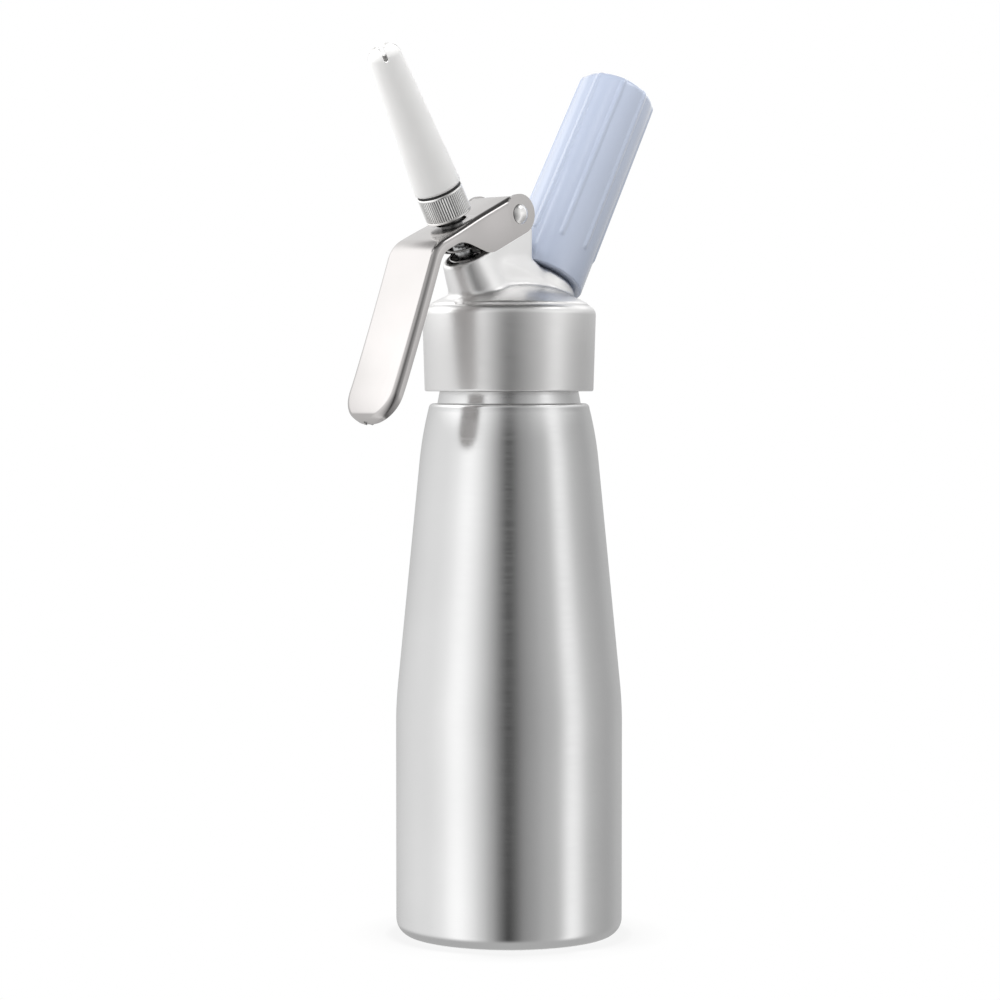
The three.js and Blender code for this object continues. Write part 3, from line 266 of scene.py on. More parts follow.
def grain_group():
    """Fine grain and slow clouds on a surface: the grain is drawn out by Stretch, as a brush draws it."""
    tree, given, out = new_group(
        "drawn_grain", {"Vector": "Vector, Stretch", "Float": "Cloud Scale"},
        {"Float": "Grain, Coarse, Clouds"})
    stretch = node_in(tree, "ShaderNodeVectorMath", operation="MULTIPLY", Vector=given["Vector"])
    fed(stretch.inputs[1], given["Stretch"])
    for name, scale, detail in (("Grain", 1.0, 4.0), ("Coarse", 0.23, 3.0)):
        noise = node_in(
            tree, "ShaderNodeTexNoise", Vector=stretch, Scale=scale, Detail=detail, Roughness=0.65)
        fed(out[name], noise)
    clouds = node_in(
        tree, "ShaderNodeTexNoise", Vector=given["Vector"], Scale=given["Cloud Scale"], Detail=2.0)
    fed(out["Clouds"], clouds)
    return tree


grain = grain_group()


def new_material(name):
    """A new finish, its node tree and the shader that it starts with."""
    material = bpy.data.materials.new(name)
    material.use_nodes = True
    return material, material.node_tree, material.node_tree.nodes["Principled BSDF"]


def about(tree, place):
    """Object coordinates, measured from a place and turned with it."""
    where = node_in(tree, "ShaderNodeTexCoord").outputs["Object"]
    turning = node_in(tree, "ShaderNodeMapping", vector_type="TEXTURE", Vector=where)
    if place:
        with_values(turning, Rotation=place.to_euler(), Location=place.to_translation())
    return turning


def surface(name, colour, deeper, rough, rough_spread, stretch, bump, turn=None, metallic=1.0,
            cloud_scale=40.0, **shader):
    """A finish: colour goes to deeper by the clouds, and roughness and height follow the grain."""
    material, tree, principled = new_material(name)
    drawn = node_in(
        tree, "ShaderNodeGroup", node_tree=grain, Vector=about(tree, turn), Stretch=stretch,
        Cloud_Scale=cloud_scale)
    shade = node_in(tree, "ShaderNodeMapRange", Value=drawn.outputs["Clouds"], From_Min=0.25, From_Max=0.75)
    clouded = mixed(tree, shade, (*colour, 1), (*deeper, 1))
    satin = node_in(
        tree, "ShaderNodeMapRange", Value=drawn.outputs["Coarse"], From_Min=0.25, From_Max=0.75,
        To_Min=rough - rough_spread, To_Max=rough + rough_spread)
    relief = node_in(tree, "ShaderNodeBump", Strength=1.0, Distance=bump, Height=drawn.outputs["Grain"])
    with_values(
        principled, Metallic=metallic, Base_Color=clouded, Roughness=satin, Normal=relief, **shader)
    return material


def dressed(piece, material, body, slot, *nodes):
    """Gives a made piece its material and its body, and hides the CAD nodes that it stands for. Its slot is
    not used.
    """
    if material and not piece.data.materials:
        piece.data.materials.append(material)
    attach(piece, body)
    if nodes:
        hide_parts(*nodes)
    return piece


def bottle_outline():
    """Half of the bottle's section: up its outer face, over the lip and down its inner face."""
    slope = (bottle_radius - taper_end_radius) / (taper_end - taper_start)
    edge_foot = shoulder - shoulder_edge
    corner_height = (taper_end + edge_foot) / 2
    corner_radius = taper_end_radius - slope * (corner_height - taper_end)
    soft_radius = bottle_radius - slope * taper_softness
    outside = [
        *arc(bottle_radius - base_corner, base_corner, base_corner, -90, 0, 12),
        *sweep((bottle_radius, taper_start - taper_softness), (bottle_radius, taper_start),
               (soft_radius, taper_start + taper_softness)),
        *sweep((taper_end_radius, taper_end), (corner_radius, corner_height), (shoulder_radius, edge_foot)),
        *arc(shoulder_radius - shoulder_edge, edge_foot, shoulder_edge, 0, 90)[1:],
        (neck_foot_radius, shoulder),
        (neck_radius, shoulder + neck_foot_rise),
        (neck_radius, mouth - lip_round),
    ]
    inside = beside(outside, bottle_wall)[::-1]
    inside[0] = (neck_radius - bottle_wall, mouth - lip_round)
    lip = arc(neck_radius - lip_round, mouth - lip_round, lip_round, 0, 90, 5)[1:]
    inner_lip = arc(neck_radius - bottle_wall + lip_round, mouth - lip_round, lip_round, 90, 180, 5)
    floor = [(inside[-1][0], bottle_wall), (0, bottle_wall)]
    return [(0, 0), *outside, *lip, *inner_lip[:-1], *inside[:-1], *floor]


bottle_metal = surface(
    "turned_aluminium", (0.88, 0.88, 0.88), (0.83, 0.83, 0.83), 0.2, 0.05, (260, 260, 9000), 4e-6,
    cloud_scale=25, Anisotropic=0.5)
bottle = turned("bottle_shell", bottle_outline(), 224)
dressed(bottle, bottle_metal, "bottle", "bottle_metal", "bottle")
helix = helix_tree()


def thread(name, material, body, slot, radius, low, turns, pitch, section, place=None, steps=56, sides=10):
    """A thread's ridge, in millimetres, that runs out within 0.3 of a turn at both ends."""
    ridge = made(
        helix, name, material, place, Radius=radius * MM, Low=low * MM, Turns=turns, Pitch=pitch * MM,
        End_Pitch=pitch * MM, Run_Out=0.3, Section=section * MM, Steps=steps, Sides=sides)
    return dressed(ridge, None, body, slot)


thread(
    "neck_thread", bottle_metal, "bottle", "bottle_metal", radius=neck_radius, low=neck_thread_low,
    turns=neck_thread_turns, pitch=neck_thread_pitch, section=neck_thread_section, steps=72, sides=12)

# Head gasket: a flat silicone ring that seals the bottle's mouth, moulded with two tabs to
# pull it out by. It lies loose against the head's rib.
silicone = surface(
    "silicone", (0.78, 0.77, 0.73), (0.7, 0.69, 0.65), 0.5, 0.08, (900, 900, 900), 3e-6, metallic=0.0,
    Subsurface_Weight=0.1)


def dress_nodes(material, *names):
    """Gives CAD nodes that stay their material."""
    for name in names:
        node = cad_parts[name]
        if not node.material_slots:
            node.data.materials.append(material)
        for slot in node.material_slots:
            slot.link = "OBJECT"
            slot.material = material


dress_nodes(silicone, "head_gasket")

# Head: one aluminium casting. Its skirt is turned and satin brushed and carries the thread;
# the dome, the valve boss, the hinge web and the charger's collar above it stay as cast.
fit = 0.3
skirt_bottom = shoulder + 4.2
skirt_top = 222.6
skirt_bottom_radius = 29.8
skirt_top_radius = 30.6
skirt_edge = 0.7
skirt_shoulder = 3.4
skirt_bore = 25.5
ceiling = mouth + 3.1
relieved_ceiling = ceiling + 2.6
cast_foot = skirt_top - 0.4
dome_foot_radius = 28.2
dome_step = 0.5
dome_rise = 7.2
lean = radians(30)
valve_place = Matrix.Translation(Vector((-29.4, 0, 253)) * MM) @ Matrix.Rotation(-lean, 4, "Y")
charger_place = Matrix.Translation(Vector((16.2, 0, 232.2)) * MM) @ Matrix.Rotation(lean, 4, "Y")
boss_rim = -15.4
boss_rim_radius = 8.6
boss_rim_edge = 0.5
boss_foot = -34.0
boss_foot_radius = 15.0
boss_waist = -28.0
boss_waist_radius = 10.6
chamber_radius = 6.5
chamber_floor = boss_rim - 20.4
pivot_x, pivot_z = -5.0, 254.2
web_half = 8.9
web_hinge = 4.9
web_right = 12.0
web_foot_flare = 6.4
web_foot_low = 226.2
web_foot_high = 235.2
hinge_bore = 2.7
root_left = -16.0
root_half = 11.8
root_front_half = 12.5
collar_radius = 13.2
collar_foot = -15.0
collar_top = -0.6
collar_edge = 0.7
stub_radius = 10.2
stub_top = 14.4
stub_edge = 0.8
inlet_radius = 5.3
inlet_floor = 4.0
charger_pitch = 2.5
charger_turns = 4.5
gasket_rib_inside = 17.0
gasket_rib_outside = 18.6
gasket_rib_height = 1.2
guide_low = -45.6
guide_radius = 7.4
stem_bore = 3.7
check_x = 11.5
check_foot = 214.5
check_seat = 217.6
check_radius = 4.6
check_bore = 3.7


def applied(piece, kind, **settings):
    """Puts one modifier on a piece and bakes it into its mesh."""
    modifier = piece.modifiers.new(kind.lower(), kind)
    for setting, value in settings.items():
        setattr(modifier, setting, value)
    return baked(piece, modifier)


def cut_by(piece, *tools, operation="DIFFERENCE"):
    """Cuts each tool out of a piece, or does the other operation with it, and removes the tool."""
    for tool in tools:
        applied(piece, "BOOLEAN", operation=operation, object=tool, solver="MANIFOLD")
        bpy.data.objects.remove(tool)
    return piece


def rod(name, radius, low, high, place=None, around=96):
    """A plain round bar about Z."""
    return turned(name, [(0, low), (radius, low), (radius, high), (0, high)], around, place)


def plate(name, outline, low, high, facing):
    """A flat piece cut from an outline, with its thickness from low to high along facing's Z."""
    count = len(outline)
    points = [(x, y, low) for x, y in outline] + [(x, y, high) for x, y in outline]
    faces = [[*range(count)][::-1], [*range(count, 2 * count)]]
    faces += [[i, (i + 1) % count, (i + 1) % count + count, i + count] for i in range(count)]
    return finished(name, points, faces, facing)


def joined(name, *pieces):
    """Several pieces in one mesh, each as it is."""
    work = bmesh.new()
    for piece in pieces:
        work.from_mesh(piece.data)
        bpy.data.objects.remove(piece)
    mesh = bpy.data.meshes.new(name)
    work.to_mesh(mesh)
    work.free()
    return placed(name, mesh)


def softened(piece, rounds, fillet_rounds, keep_below):
    """Smooths a remeshed casting: a little everywhere, and far more in its hollow corners."""
    mesh = piece.data
    places = np.zeros(len(mesh.vertices) * 3)
    mesh.vertices.foreach_get("co", places)
    places = places.reshape(-1, 3)
    edges = np.zeros(len(mesh.edges) * 2, int)
    mesh.edges.foreach_get("vertices", edges)
    edges = edges.reshape(-1, 2)
    count = np.bincount(edges.ravel(), minlength=len(places)).reshape(-1, 1)

    def mean_of(values):
        total = np.zeros_like(values)
        for a, b in ((0, 1), (1, 0)):
            for axis in range(values.shape[1]):
                near = values[edges[:, b], axis]
                total[:, axis] += np.bincount(edges[:, a], near, minlength=len(values))
        return total / count

    free = (places[:, 2:] > keep_below * MM).astype(float)
    full_pull = 0.012 * MM
    for step in range(rounds + fillet_rounds):
        pull = mean_of(places) - places
        share = free * 0.5
        if step >= rounds:
            normals = np.zeros(len(places) * 3)
            mesh.vertices.foreach_set("co", places.ravel())
            mesh.update()
            mesh.vertices.foreach_get("normal", normals)
            hollow = (pull * normals.reshape(-1, 3)).sum(1, keepdims=True)
            share = free * np.clip(mean_of(mean_of(hollow)) / full_pull, 0, 1) * 0.6
        places = places + pull * share
    mesh.vertices.foreach_set("co", places.ravel())
    mesh.update()
    return piece


def dome_line():
    """The dome's outline, from its foot to the axis."""
    radius = (dome_foot_radius ** 2 + dome_rise ** 2) / (2 * dome_rise)
    foot = skirt_top + dome_step
    return arc(0, foot + dome_rise - radius, radius, degrees(acos(dome_foot_radius / radius)), 90, 40)


cast_metal = surface(
    "cast_aluminium", (0.94, 0.935, 0.93), (0.89, 0.885, 0.88), 0.36, 0.05, (400, 400, 400), 4e-6,
    cloud_scale=70)
satin_metal = surface(
    "satin_aluminium", (0.92, 0.915, 0.91), (0.86, 0.855, 0.85), 0.33, 0.05, (260, 260, 7000), 4e-6,
    cloud_scale=30, Anisotropic=0.4)
side_view = Matrix.Rotation(pi / 2, 4, "X")
front_view = Matrix.Rotation(pi / 2, 4, "Z") @ Matrix.Rotation(pi / 2, 4, "X")
dome = turned("dome", [(0, cast_foot), (dome_foot_radius, cast_foot), *dome_line()])
boss_side = sweep(
    (boss_foot_radius, boss_foot), (boss_waist_radius, boss_foot), (boss_waist_radius, boss_waist))
boss = turned(
    "boss",
    [(0, boss_foot), *boss_side, (boss_rim_radius, boss_rim - boss_rim_edge),
     (boss_rim_radius - boss_rim_edge, boss_rim), (0, boss_rim)], 128, valve_place)
collar = turned(
    "collar",
    [(0, collar_foot), (collar_radius, collar_foot), (collar_radius, collar_top - collar_edge),
     (collar_radius - collar_edge, collar_top), (stub_radius, collar_top),
     (stub_radius, stub_top - stub_edge), (stub_radius - stub_edge, stub_top), (0, stub_top)],
    128, charger_place)
hinge_line = arc(pivot_x, pivot_z, web_hinge, 20, 180, 24)
web_side = [
    (-11.7, cast_foot), (web_right, cast_foot), (web_right, 233.7), (4.6, 238.0), (3, 239),
    (3, pivot_z - 4.6), *hinge_line, (pivot_x - 8.4, pivot_z - 7.6), (-14.4, 243.4), (-21.5, 239.3)]
foot_half = web_half + web_foot_flare
foot_flare = sweep((foot_half, web_foot_low), (web_half, web_foot_low), (web_half, web_foot_high))
web_front = [
    (-foot_half, cast_foot), (foot_half, cast_foot), *foot_flare, (web_half, 262), (-web_half, 262),
    *[(-y, z) for y, z in foot_flare[::-1]]]
web = plate("web", web_side, -22, 22, side_view)
cut_by(web, plate("web_front", web_front, -46, 46, front_view), operation="INTERSECT")
root_side = [(root_left, cast_foot), (13, cast_foot), (13, 232.3), (4, 237.5), (root_left, 237.5)]
root_plan = [
    (root_left, 0.3 - web_half), (8, -root_half), (24, -root_half), (24, root_half), (8, root_half),
    (root_left, web_half - 0.3)]
root_front = [
    (-root_front_half, skirt_top - 1), (root_front_half, skirt_top - 1), (root_front_half, 228.5),
    (web_half - 0.3, 240), (0.3 - web_half, 240), (-root_front_half, 228.5)]
web_root = plate("web_root", root_side, -12, 12, side_view)
cut_by(
    web_root, plate("root_plan", root_plan, skirt_top - 1, 240, None),
    plate("root_front", root_front, -46, 46, front_view), operation="INTERSECT")
casting = joined("casting", dome, boss, collar, web, web_root)
all_round = [(-60, -60), (60, -60), (60, 60), (-60, 60)]
cut_by(casting, plate("under", all_round, skirt_top - 30, cast_foot, None))
applied(casting, "REMESH", mode="VOXEL", voxel_size=0.42 * MM, use_smooth_shade=True)
softened(casting, 12, 90, skirt_top)
pivot_place = Matrix.Translation(Vector((pivot_x, 0, pivot_z)) * MM) @ side_view
chamber_line = [
    (0, chamber_floor), (chamber_radius, chamber_floor), (chamber_radius, boss_rim - 0.4),
    (chamber_radius + 1.2, boss_rim + 0.8), (0, boss_rim + 0.8)]
cut_by(
    casting, turned("chamber", chamber_line, 96, valve_place),
    rod("inlet", inlet_radius, inlet_floor, stub_top + 2, charger_place),
    rod("hinge_bore", hinge_bore, -14, 14, pivot_place))
smoothed(casting.data, 40)
dressed(casting, cast_metal, "head", "cast_head", "head")
shoulder_line = arc(skirt_top_radius - skirt_shoulder, skirt_top - skirt_shoulder, skirt_shoulder, 0, 90, 16)
skirt = turned(
    "skirt",
    [(gasket_rib_inside, relieved_ceiling), (gasket_rib_inside, ceiling - gasket_rib_height),
     (gasket_rib_outside, ceiling - gasket_rib_height), (gasket_rib_outside, ceiling), (skirt_bore, ceiling),
     (skirt_bore, skirt_bottom + 0.3), (skirt_bore + 0.3, skirt_bottom),
     *arc(skirt_bottom_radius - skirt_edge, skirt_bottom + skirt_edge, skirt_edge, -90, 0, 6),
     *[p for p in shoulder_line if p[0] > dome_foot_radius], (dome_foot_radius + 0.2, skirt_top),
     (dome_foot_radius - 0.5, skirt_top - 0.5), (gasket_rib_inside, skirt_top - 0.5)], 224)
dressed(skirt, satin_metal, "head", "cast_head")
roof_radius = gasket_rib_inside + 0.1
under_head = turned(
    "under_head",
    [(0, relieved_ceiling), (roof_radius, relieved_ceiling), (roof_radius, skirt_top - 0.5),
     (0, skirt_top - 0.5)], 96)
guide = turned(
    "valve_guide",
    [(stem_bore, guide_low), (guide_radius, guide_low), (guide_radius, chamber_floor),
     (stem_bore, chamber_floor)], 96, valve_place)
check_boss = turned(
    "check_boss",
    [(0, check_seat), (check_bore, check_seat), (check_bore, check_foot), (check_radius, check_foot),
     (check_radius, relieved_ceiling + 1), (0, relieved_ceiling + 1)],
    64, Matrix.Translation((check_x * MM, 0, 0)))
head_inside = joined("head_inside", under_head, guide, check_boss)
dressed(head_inside, cast_metal, "head", "cast_head")
smoothed(head_inside.data, 35)
thread(
    "head_thread", satin_metal, "head", "cast_head", radius=skirt_bore, low=196, turns=2.5,
    pitch=neck_thread_pitch, section=0.68, steps=72, sides=12)
thread(
    "stub_thread", cast_metal, "head", "cast_head", radius=stub_radius, low=1.5, turns=charger_turns,
    pitch=charger_pitch, section=0.42, place=charger_place)

# Check valve and inlet: a slit rubber nose held by a brass ring under the head's ceiling, and
# a brass carrier with the hollow pin and its gasket screwed into the charger's stub.
rubber = surface(
    "rubber", (0.02, 0.02, 0.021), (0.035, 0.034, 0.034), 0.55, 0.1, (1500, 1500, 1500), 4e-6, metallic=0.0)
brass = surface(
    "brass", (0.75, 0.6, 0.3), (0.64, 0.49, 0.22), 0.26, 0.07, (700, 700, 4000), 4e-6, cloud_scale=300)
pin_steel = surface(
    "pin_steel", (0.66, 0.665, 0.67), (0.56, 0.565, 0.57), 0.2, 0.06, (1400, 1400, 6000), 3e-6,
    turn=charger_place)
dress_nodes(rubber, "check_valve", "inlet_gasket")
dress_nodes(brass, "check_valve_ring", "pin_carrier")
dress_nodes(pin_steel, "piercing_pin")

# Valve: a turned steel stem, hollow above its cross port, with a plug and a rubber cone at its
# foot, an O-ring in its guide and a thread at its top for the nozzle's ring.
turned_steel = surface(
    "turned_steel", (0.62, 0.625, 0.63), (0.5, 0.505, 0.51), 0.22, 0.07, (500, 500, 9000), 4e-6,
    turn=valve_place, cloud_scale=200)
dress_nodes(turned_steel, "valve_stem")
dress_nodes(rubber, "valve_seal", "stem_o_ring")
thread(
    "stem_thread", turned_steel, "valve", "turned_steel", radius=3.1, low=0.8, turns=4.6, pitch=1.25,
    section=0.17, place=valve_place, steps=40, sides=8)

# Valve spring: round spring wire, closed at both ends, that stands in the boss's chamber and
# lifts the collar.
spring_wire = 0.9
collar_under = -7.1
spring_low = chamber_floor + fit + spring_wire / 2
spring_high = collar_under - fit - spring_wire / 2
end_pitch = 1.5
open_turns = 6
spring_radius = 5.2
spring_steel = surface(
    "spring_steel", (0.58, 0.575, 0.57), (0.44, 0.435, 0.43), 0.25, 0.06, (600, 600, 600), 2e-6,
    cloud_scale=300)
spring = made(
    helix, "spring_coils", spring_steel, valve_place, Radius=spring_radius * MM, Low=spring_low * MM,
    Turns=open_turns + 2, Pitch=(spring_high - spring_low - 2 * end_pitch) / open_turns * MM,
    End_Pitch=end_pitch * MM, Run_Out=0.001, Section=spring_wire / 2 * MM, Steps=64, Sides=16)
dressed(spring, None, "head", "spring_steel", "valve_spring")
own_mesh(spring)

# Spring collar: a turned steel disc with a sleeve that the lever's plate pushes down on and
# that holds the spring's top. Its steel is darkened with painted shade, for the shade under the lever.
disc_radius = 6.1
disc_top = -4.9
disc_round = 0.3
sleeve_radius = 3.9
sleeve_bore = 3.4
sleeve_foot = -10.1
# Painted shade: the steel's colour is set dark for the shade that the collar stands in under the lever.
dark_steel = surface(
    "dark_steel", (0.3, 0.3, 0.3), (0.2, 0.2, 0.2), 0.3, 0.08, (400, 400, 6000), 4e-6, turn=valve_place,
    cloud_scale=250)
spring_collar = turned(
    "collar_disc",
    [(sleeve_bore, sleeve_foot), (sleeve_radius, sleeve_foot), (sleeve_radius, collar_under),
     (disc_radius - 0.1, collar_under), (disc_radius, collar_under + 0.1), (disc_radius, disc_top - 0.4),
     *arc(disc_radius - disc_round, disc_top - disc_round, disc_round, 0, 90, 4), (sleeve_radius, disc_top),
     (sleeve_radius, -fit), (sleeve_bore, -fit)], 96, valve_place)
dressed(spring_collar, dark_steel, "valve", "turned_steel", "spring_collar")

# Lever: one steel pressing, a channel that runs from the two hinge cheeks over the stem and
# down the handle, and whose flange goes right round the tip. Brushed along its length.
lever_width = 21.4
handle_width = 24.0
sheet = 1.5
fold_radius = 2.3
cheek_radius = 7.0
flange = 4.0
plate_slope = radians(25)
plate_length = 42.8
cheek_length = 16.5
cheek_fade = 17.0
flare_start = 15.0
flare_length = 20.0
bend_radius = 12.0
handle_lean = radians(20)
handle_length = 47.1
handle_curve = radians(2)
tip_curl = radians(6)
tip_curl_length = 17.0
tip_round = 10.6
stem_hole = 5.4
rivet_hole = 2.7
cheek_inside = lever_width / 2 - sheet


def lever_stations():
    """Places down the middle of the outer face in side view: x, z, heading, way gone and way left."""
    turn = pi / 2 - handle_lean - plate_slope
    tangent = bend_radius * tan(turn / 2)
    x = pivot_x - cheek_radius * sin(plate_slope)
    z = pivot_z + cheek_radius * cos(plate_slope)
    heading, gone = pi + plate_slope, 0.0
    line = [(x, z, heading, gone)]
    tip_shares = [sin(pi / 2 * i / 24) for i in range(25)]
    even = [i / 24 for i in range(25)]
    curled = tip_curl_length - tip_round
    for length, turning, shares in (
            (plate_length - tangent, 0, even), (bend_radius * turn, turn, even),
            (handle_length - tangent, -handle_curve, even[::3]),
            (curled, -tip_curl * curled / tip_curl_length, even[::3]),
            (tip_round, -tip_curl * tip_round / tip_curl_length, tip_shares)):
        for before, after in zip(shares, shares[1:]):
            step = (after - before) * length
            heading += (after - before) * turning / 2
            x, z = x + step * cos(heading), z + step * sin(heading)
            heading += (after - before) * turning / 2
            gone += step
            line.append((x, z, heading, gone))
    return [(x, z, heading, way, gone - way) for x, z, heading, way in line]


def eased(way, start, length):
    """How much of a soft change from 0 to 1 is done at this way along."""
    share = min(max((way - start) / length, 0), 1)
    return share * share * (3 - 2 * share)


def rounded_fall(distance, radius):
    """How far a rounded edge has fallen back at this distance from its end."""
    within = min(max(radius - distance, 0), radius)
    return radius - sqrt(radius ** 2 - within ** 2)


def lever_block(name, stations, inset, extra):
    """A block as wide as the channel, less an inset all round, with rounded edges and a rounded end."""
    fold, end_round = fold_radius - inset / 2, tip_round - inset
    points, count, faces = [], 0, []
    used = [s for s in stations if s[4] >= inset - 1e-6]
    for x, z, heading, gone, left in used:
        reach = left - inset
        half = (lever_width + (handle_width - lever_width) * eased(gone, flare_start, flare_length)) / 2
        half -= inset + rounded_fall(reach, end_round)
        top = inset + rounded_fall(reach, fold)
        shallower = (2 * cheek_radius - flange) * eased(gone, cheek_length, cheek_fade)
        bottom = 2 * cheek_radius - shallower + extra
        side = arc(half - fold, top + fold, fold, 0, -90)
        section = [(half, bottom), *side, *[(-y, depth) for y, depth in side[::-1]], (-half, bottom)]
        count = len(section)
        inward = heading + pi / 2
        points += [(x + depth * cos(inward), y, z + depth * sin(inward)) for y, depth in section]
    for row in range(1, len(used)):
        for k in range(count):
            a, b = (row - 1) * count + k, (row - 1) * count + (k + 1) % count
            faces.append((a, a + count, b + count, b))
    faces += [tuple(range(count)), tuple((len(used) - 1) * count + k for k in range(count))[::-1]]
    return finished(name, points, faces)


def moved_along(station, distance):
    """The station, moved on along its heading."""
    x, z, heading, gone, left = station
    return (x + distance * cos(heading), z + distance * sin(heading), heading, gone, left)


def behind(station, depth):
    """The point at this depth under the outer face."""
    x, z, heading = station[:3]
    return (x + depth * cos(heading + pi / 2), z + depth * sin(heading + pi / 2))


pressed_steel = surface(
    "pressed_steel", (0.54, 0.52, 0.515), (0.51, 0.495, 0.485), 0.17, 0.04, (700, 6000, 700), 2e-6,
    cloud_scale=45, turn=Matrix.Rotation(-handle_lean, 4, "Y"), Anisotropic=0.3)
stations = lever_stations()
before = moved_along(stations[0], -cheek_radius - 1)
plate_end = moved_along(stations[0], 0.5)
lever = lever_block("lever_channel", stations, 0, 0)
cheek_end = rod("cheek_end", cheek_radius, -lever_width / 2, lever_width / 2, pivot_place, 128)
cut_by(lever, cheek_end, operation="UNION")
open_end = [
    behind(plate_end, -1), behind(plate_end, cheek_radius), behind(before, cheek_radius), behind(before, -1)]
cut_by(
    lever,
    lever_block("lever_inside", [before, *stations], sheet, 1),
    plate("open_end", open_end, -cheek_inside, cheek_inside, side_view),
    rod("pivot_hole", rivet_hole, -20, 20, pivot_place),
    rod("stem_hole", stem_hole, collar_under, 1, valve_place))
applied(lever, "BEVEL", width=0.22 * MM, segments=2, limit_method="ANGLE", angle_limit=radians(50))
smoothed(lever.data, 40)
dressed(lever, pressed_steel, "lever", "pressed_steel", "lever")

# Lever rivet: a steel pin through both cheeks and the web, domed and polished at each end
# where it was headed over.
rivet_steel = surface(
    "rivet_steel", (0.92, 0.91, 0.9), (0.86, 0.85, 0.84), 0.25, 0.05, (900, 900, 900), 4e-6, cloud_scale=300)
rivet_half = lever_width / 2 + 0.15
rivet_radius = 2.4
rivet_head = 3.5
rivet_rise = 1.5
rivet_dome = (rivet_head ** 2 + rivet_rise ** 2) / (2 * rivet_rise)
dome_start = degrees(acos(rivet_head / rivet_dome))
dome_points = arc(0, rivet_half + rivet_rise - rivet_dome, rivet_dome, dome_start, 90, 14)
rivet = turned(
    "rivet",
    [*[(r, -h) for r, h in dome_points[::-1]], (rivet_head - 0.05, -rivet_half), (rivet_radius, -rivet_half),
     (rivet_radius, rivet_half), (rivet_head - 0.05, rivet_half), *dome_points], 80, pivot_place)
dressed(rivet, rivet_steel, "lever", "turned_steel", "lever_rivet")

# Knurled ring: turned steel, straight knurled between two plain rims, that screws the nozzle
# to the stem. The thin rubber seal above it shows as a black line.
ring_length = 9.7
ring_radius = 8.2
ring_edge = 0.4
ring_bore = 3.4
ring_seat = 7.7
tube_radius = 5.0
tube_end = 16.2
tube_bore = 1.8
knurl_root = 7.8
knurl_count = 60
knurl_bar = 0.31


def knurl_tree():
    """Thin bars set in a circle about Z, that stand out as a straight knurling wheel leaves them."""
    tree, given, out = new_group("straight_knurl", {
        "Int": "Count", "Float": "Radius, Low, Length, Bar", "Material": "Material"})
    circle = node_in(tree, "GeometryNodeMeshCircle", Vertices=given["Count"], Radius=given["Radius"])
    bar = node_in(
        tree, "GeometryNodeMeshCylinder", Vertices=8, Radius=given["Bar"], Depth=given["Length"])
    outward = node_in(tree, "GeometryNodeInputPosition")
    facing = node_in(tree, "FunctionNodeAlignRotationToVector", axis="X", Vector=outward)
    around = node_in(
        tree, "GeometryNodeInstanceOnPoints", Points=circle, Instance=bar, Rotation=facing)
    real = node_in(tree, "GeometryNodeRealizeInstances", Geometry=around)
    middle = worked_out(tree, "MULTIPLY_ADD", given["Length"], 0.5, given["Low"])
    lift = node_in(tree, "ShaderNodeCombineXYZ", Z=middle)
    lifted = node_in(tree, "GeometryNodeSetPosition", Geometry=real, Offset=lift)
    return ended(tree, lifted, given, out)


def groove_group():
    """A mask that is 1 in the grooves of a knurled band about Z and 0 on all that stands out."""
    tree, given, out = new_group(
        "groove_mask", {"Vector": "Vector", "Float": "Root, Crest"}, {"Float": "Groove"})
    flat = node_in(tree, "ShaderNodeVectorMath", operation="MULTIPLY", Vector=given["Vector"])
    fed(flat.inputs[1], (1, 1, 0))
    radius = node_in(tree, "ShaderNodeVectorMath", operation="LENGTH", Vector=flat)
    depth = node_in(
        tree, "ShaderNodeMapRange", Value=radius.outputs["Value"], From_Min=given["Root"],
        From_Max=given["Crest"], To_Min=1, To_Max=0)
    fed(out[0], depth)
    return tree


def painted_shade_in_grooves(material, place, root, crest, colour):
    """Paints shade into the grooves of a knurled band: the colour in them goes towards the given dark, as
    where the hollows fall in shade.
    """
    tree = material.node_tree
    base = tree.nodes["Principled BSDF"].inputs["Base Color"]
    mask = node_in(
        tree, "ShaderNodeGroup", node_tree=groove_group(), Vector=about(tree, place), Root=root * MM,
        Crest=crest * MM)
    fed(base, mixed(tree, mask, base.links[0].from_socket, (*colour, 1)))


ring_steel = surface(
    "ring_steel", (0.92, 0.915, 0.905), (0.86, 0.855, 0.845), 0.3, 0.05, (500, 500, 8000), 3e-6,
    turn=valve_place, cloud_scale=200)
# Painted shade: the knurl's grooves are laid dark grey where the hollows between the bars fall in shade.
painted_shade_in_grooves(ring_steel, valve_place, knurl_root + 0.02, knurl_root + 0.16, (0.22, 0.22, 0.22))
ring = turned(
    "ring_body",
    [(ring_bore, 0), (ring_radius - ring_edge, 0),
     *arc(ring_radius - ring_edge, ring_edge, ring_edge, -90, 0, 5)[1:], (ring_radius, 0.7),
     (knurl_root, 0.95), (knurl_root, ring_length - 0.95), (ring_radius, ring_length - 0.7),
     *arc(ring_radius - ring_edge, ring_length - ring_edge, ring_edge, 0, 90, 5), (tube_radius, ring_length),
     (tube_radius, tube_end), (tube_bore, tube_end), (tube_bore, ring_seat), (ring_bore, ring_seat)],
    132, valve_place)
dressed(ring, ring_steel, "nozzle", "knurled_metal", "nozzle_ring")
knurl = made(
    knurl_tree(), "knurl", ring_steel, valve_place, Count=knurl_count, Radius=knurl_root * MM,
    Low=0.85 * MM, Length=(ring_length - 1.7) * MM, Bar=knurl_bar * MM)
dressed(knurl, None, "nozzle", "knurled_metal")
dress_nodes(rubber, "nozzle_seal")

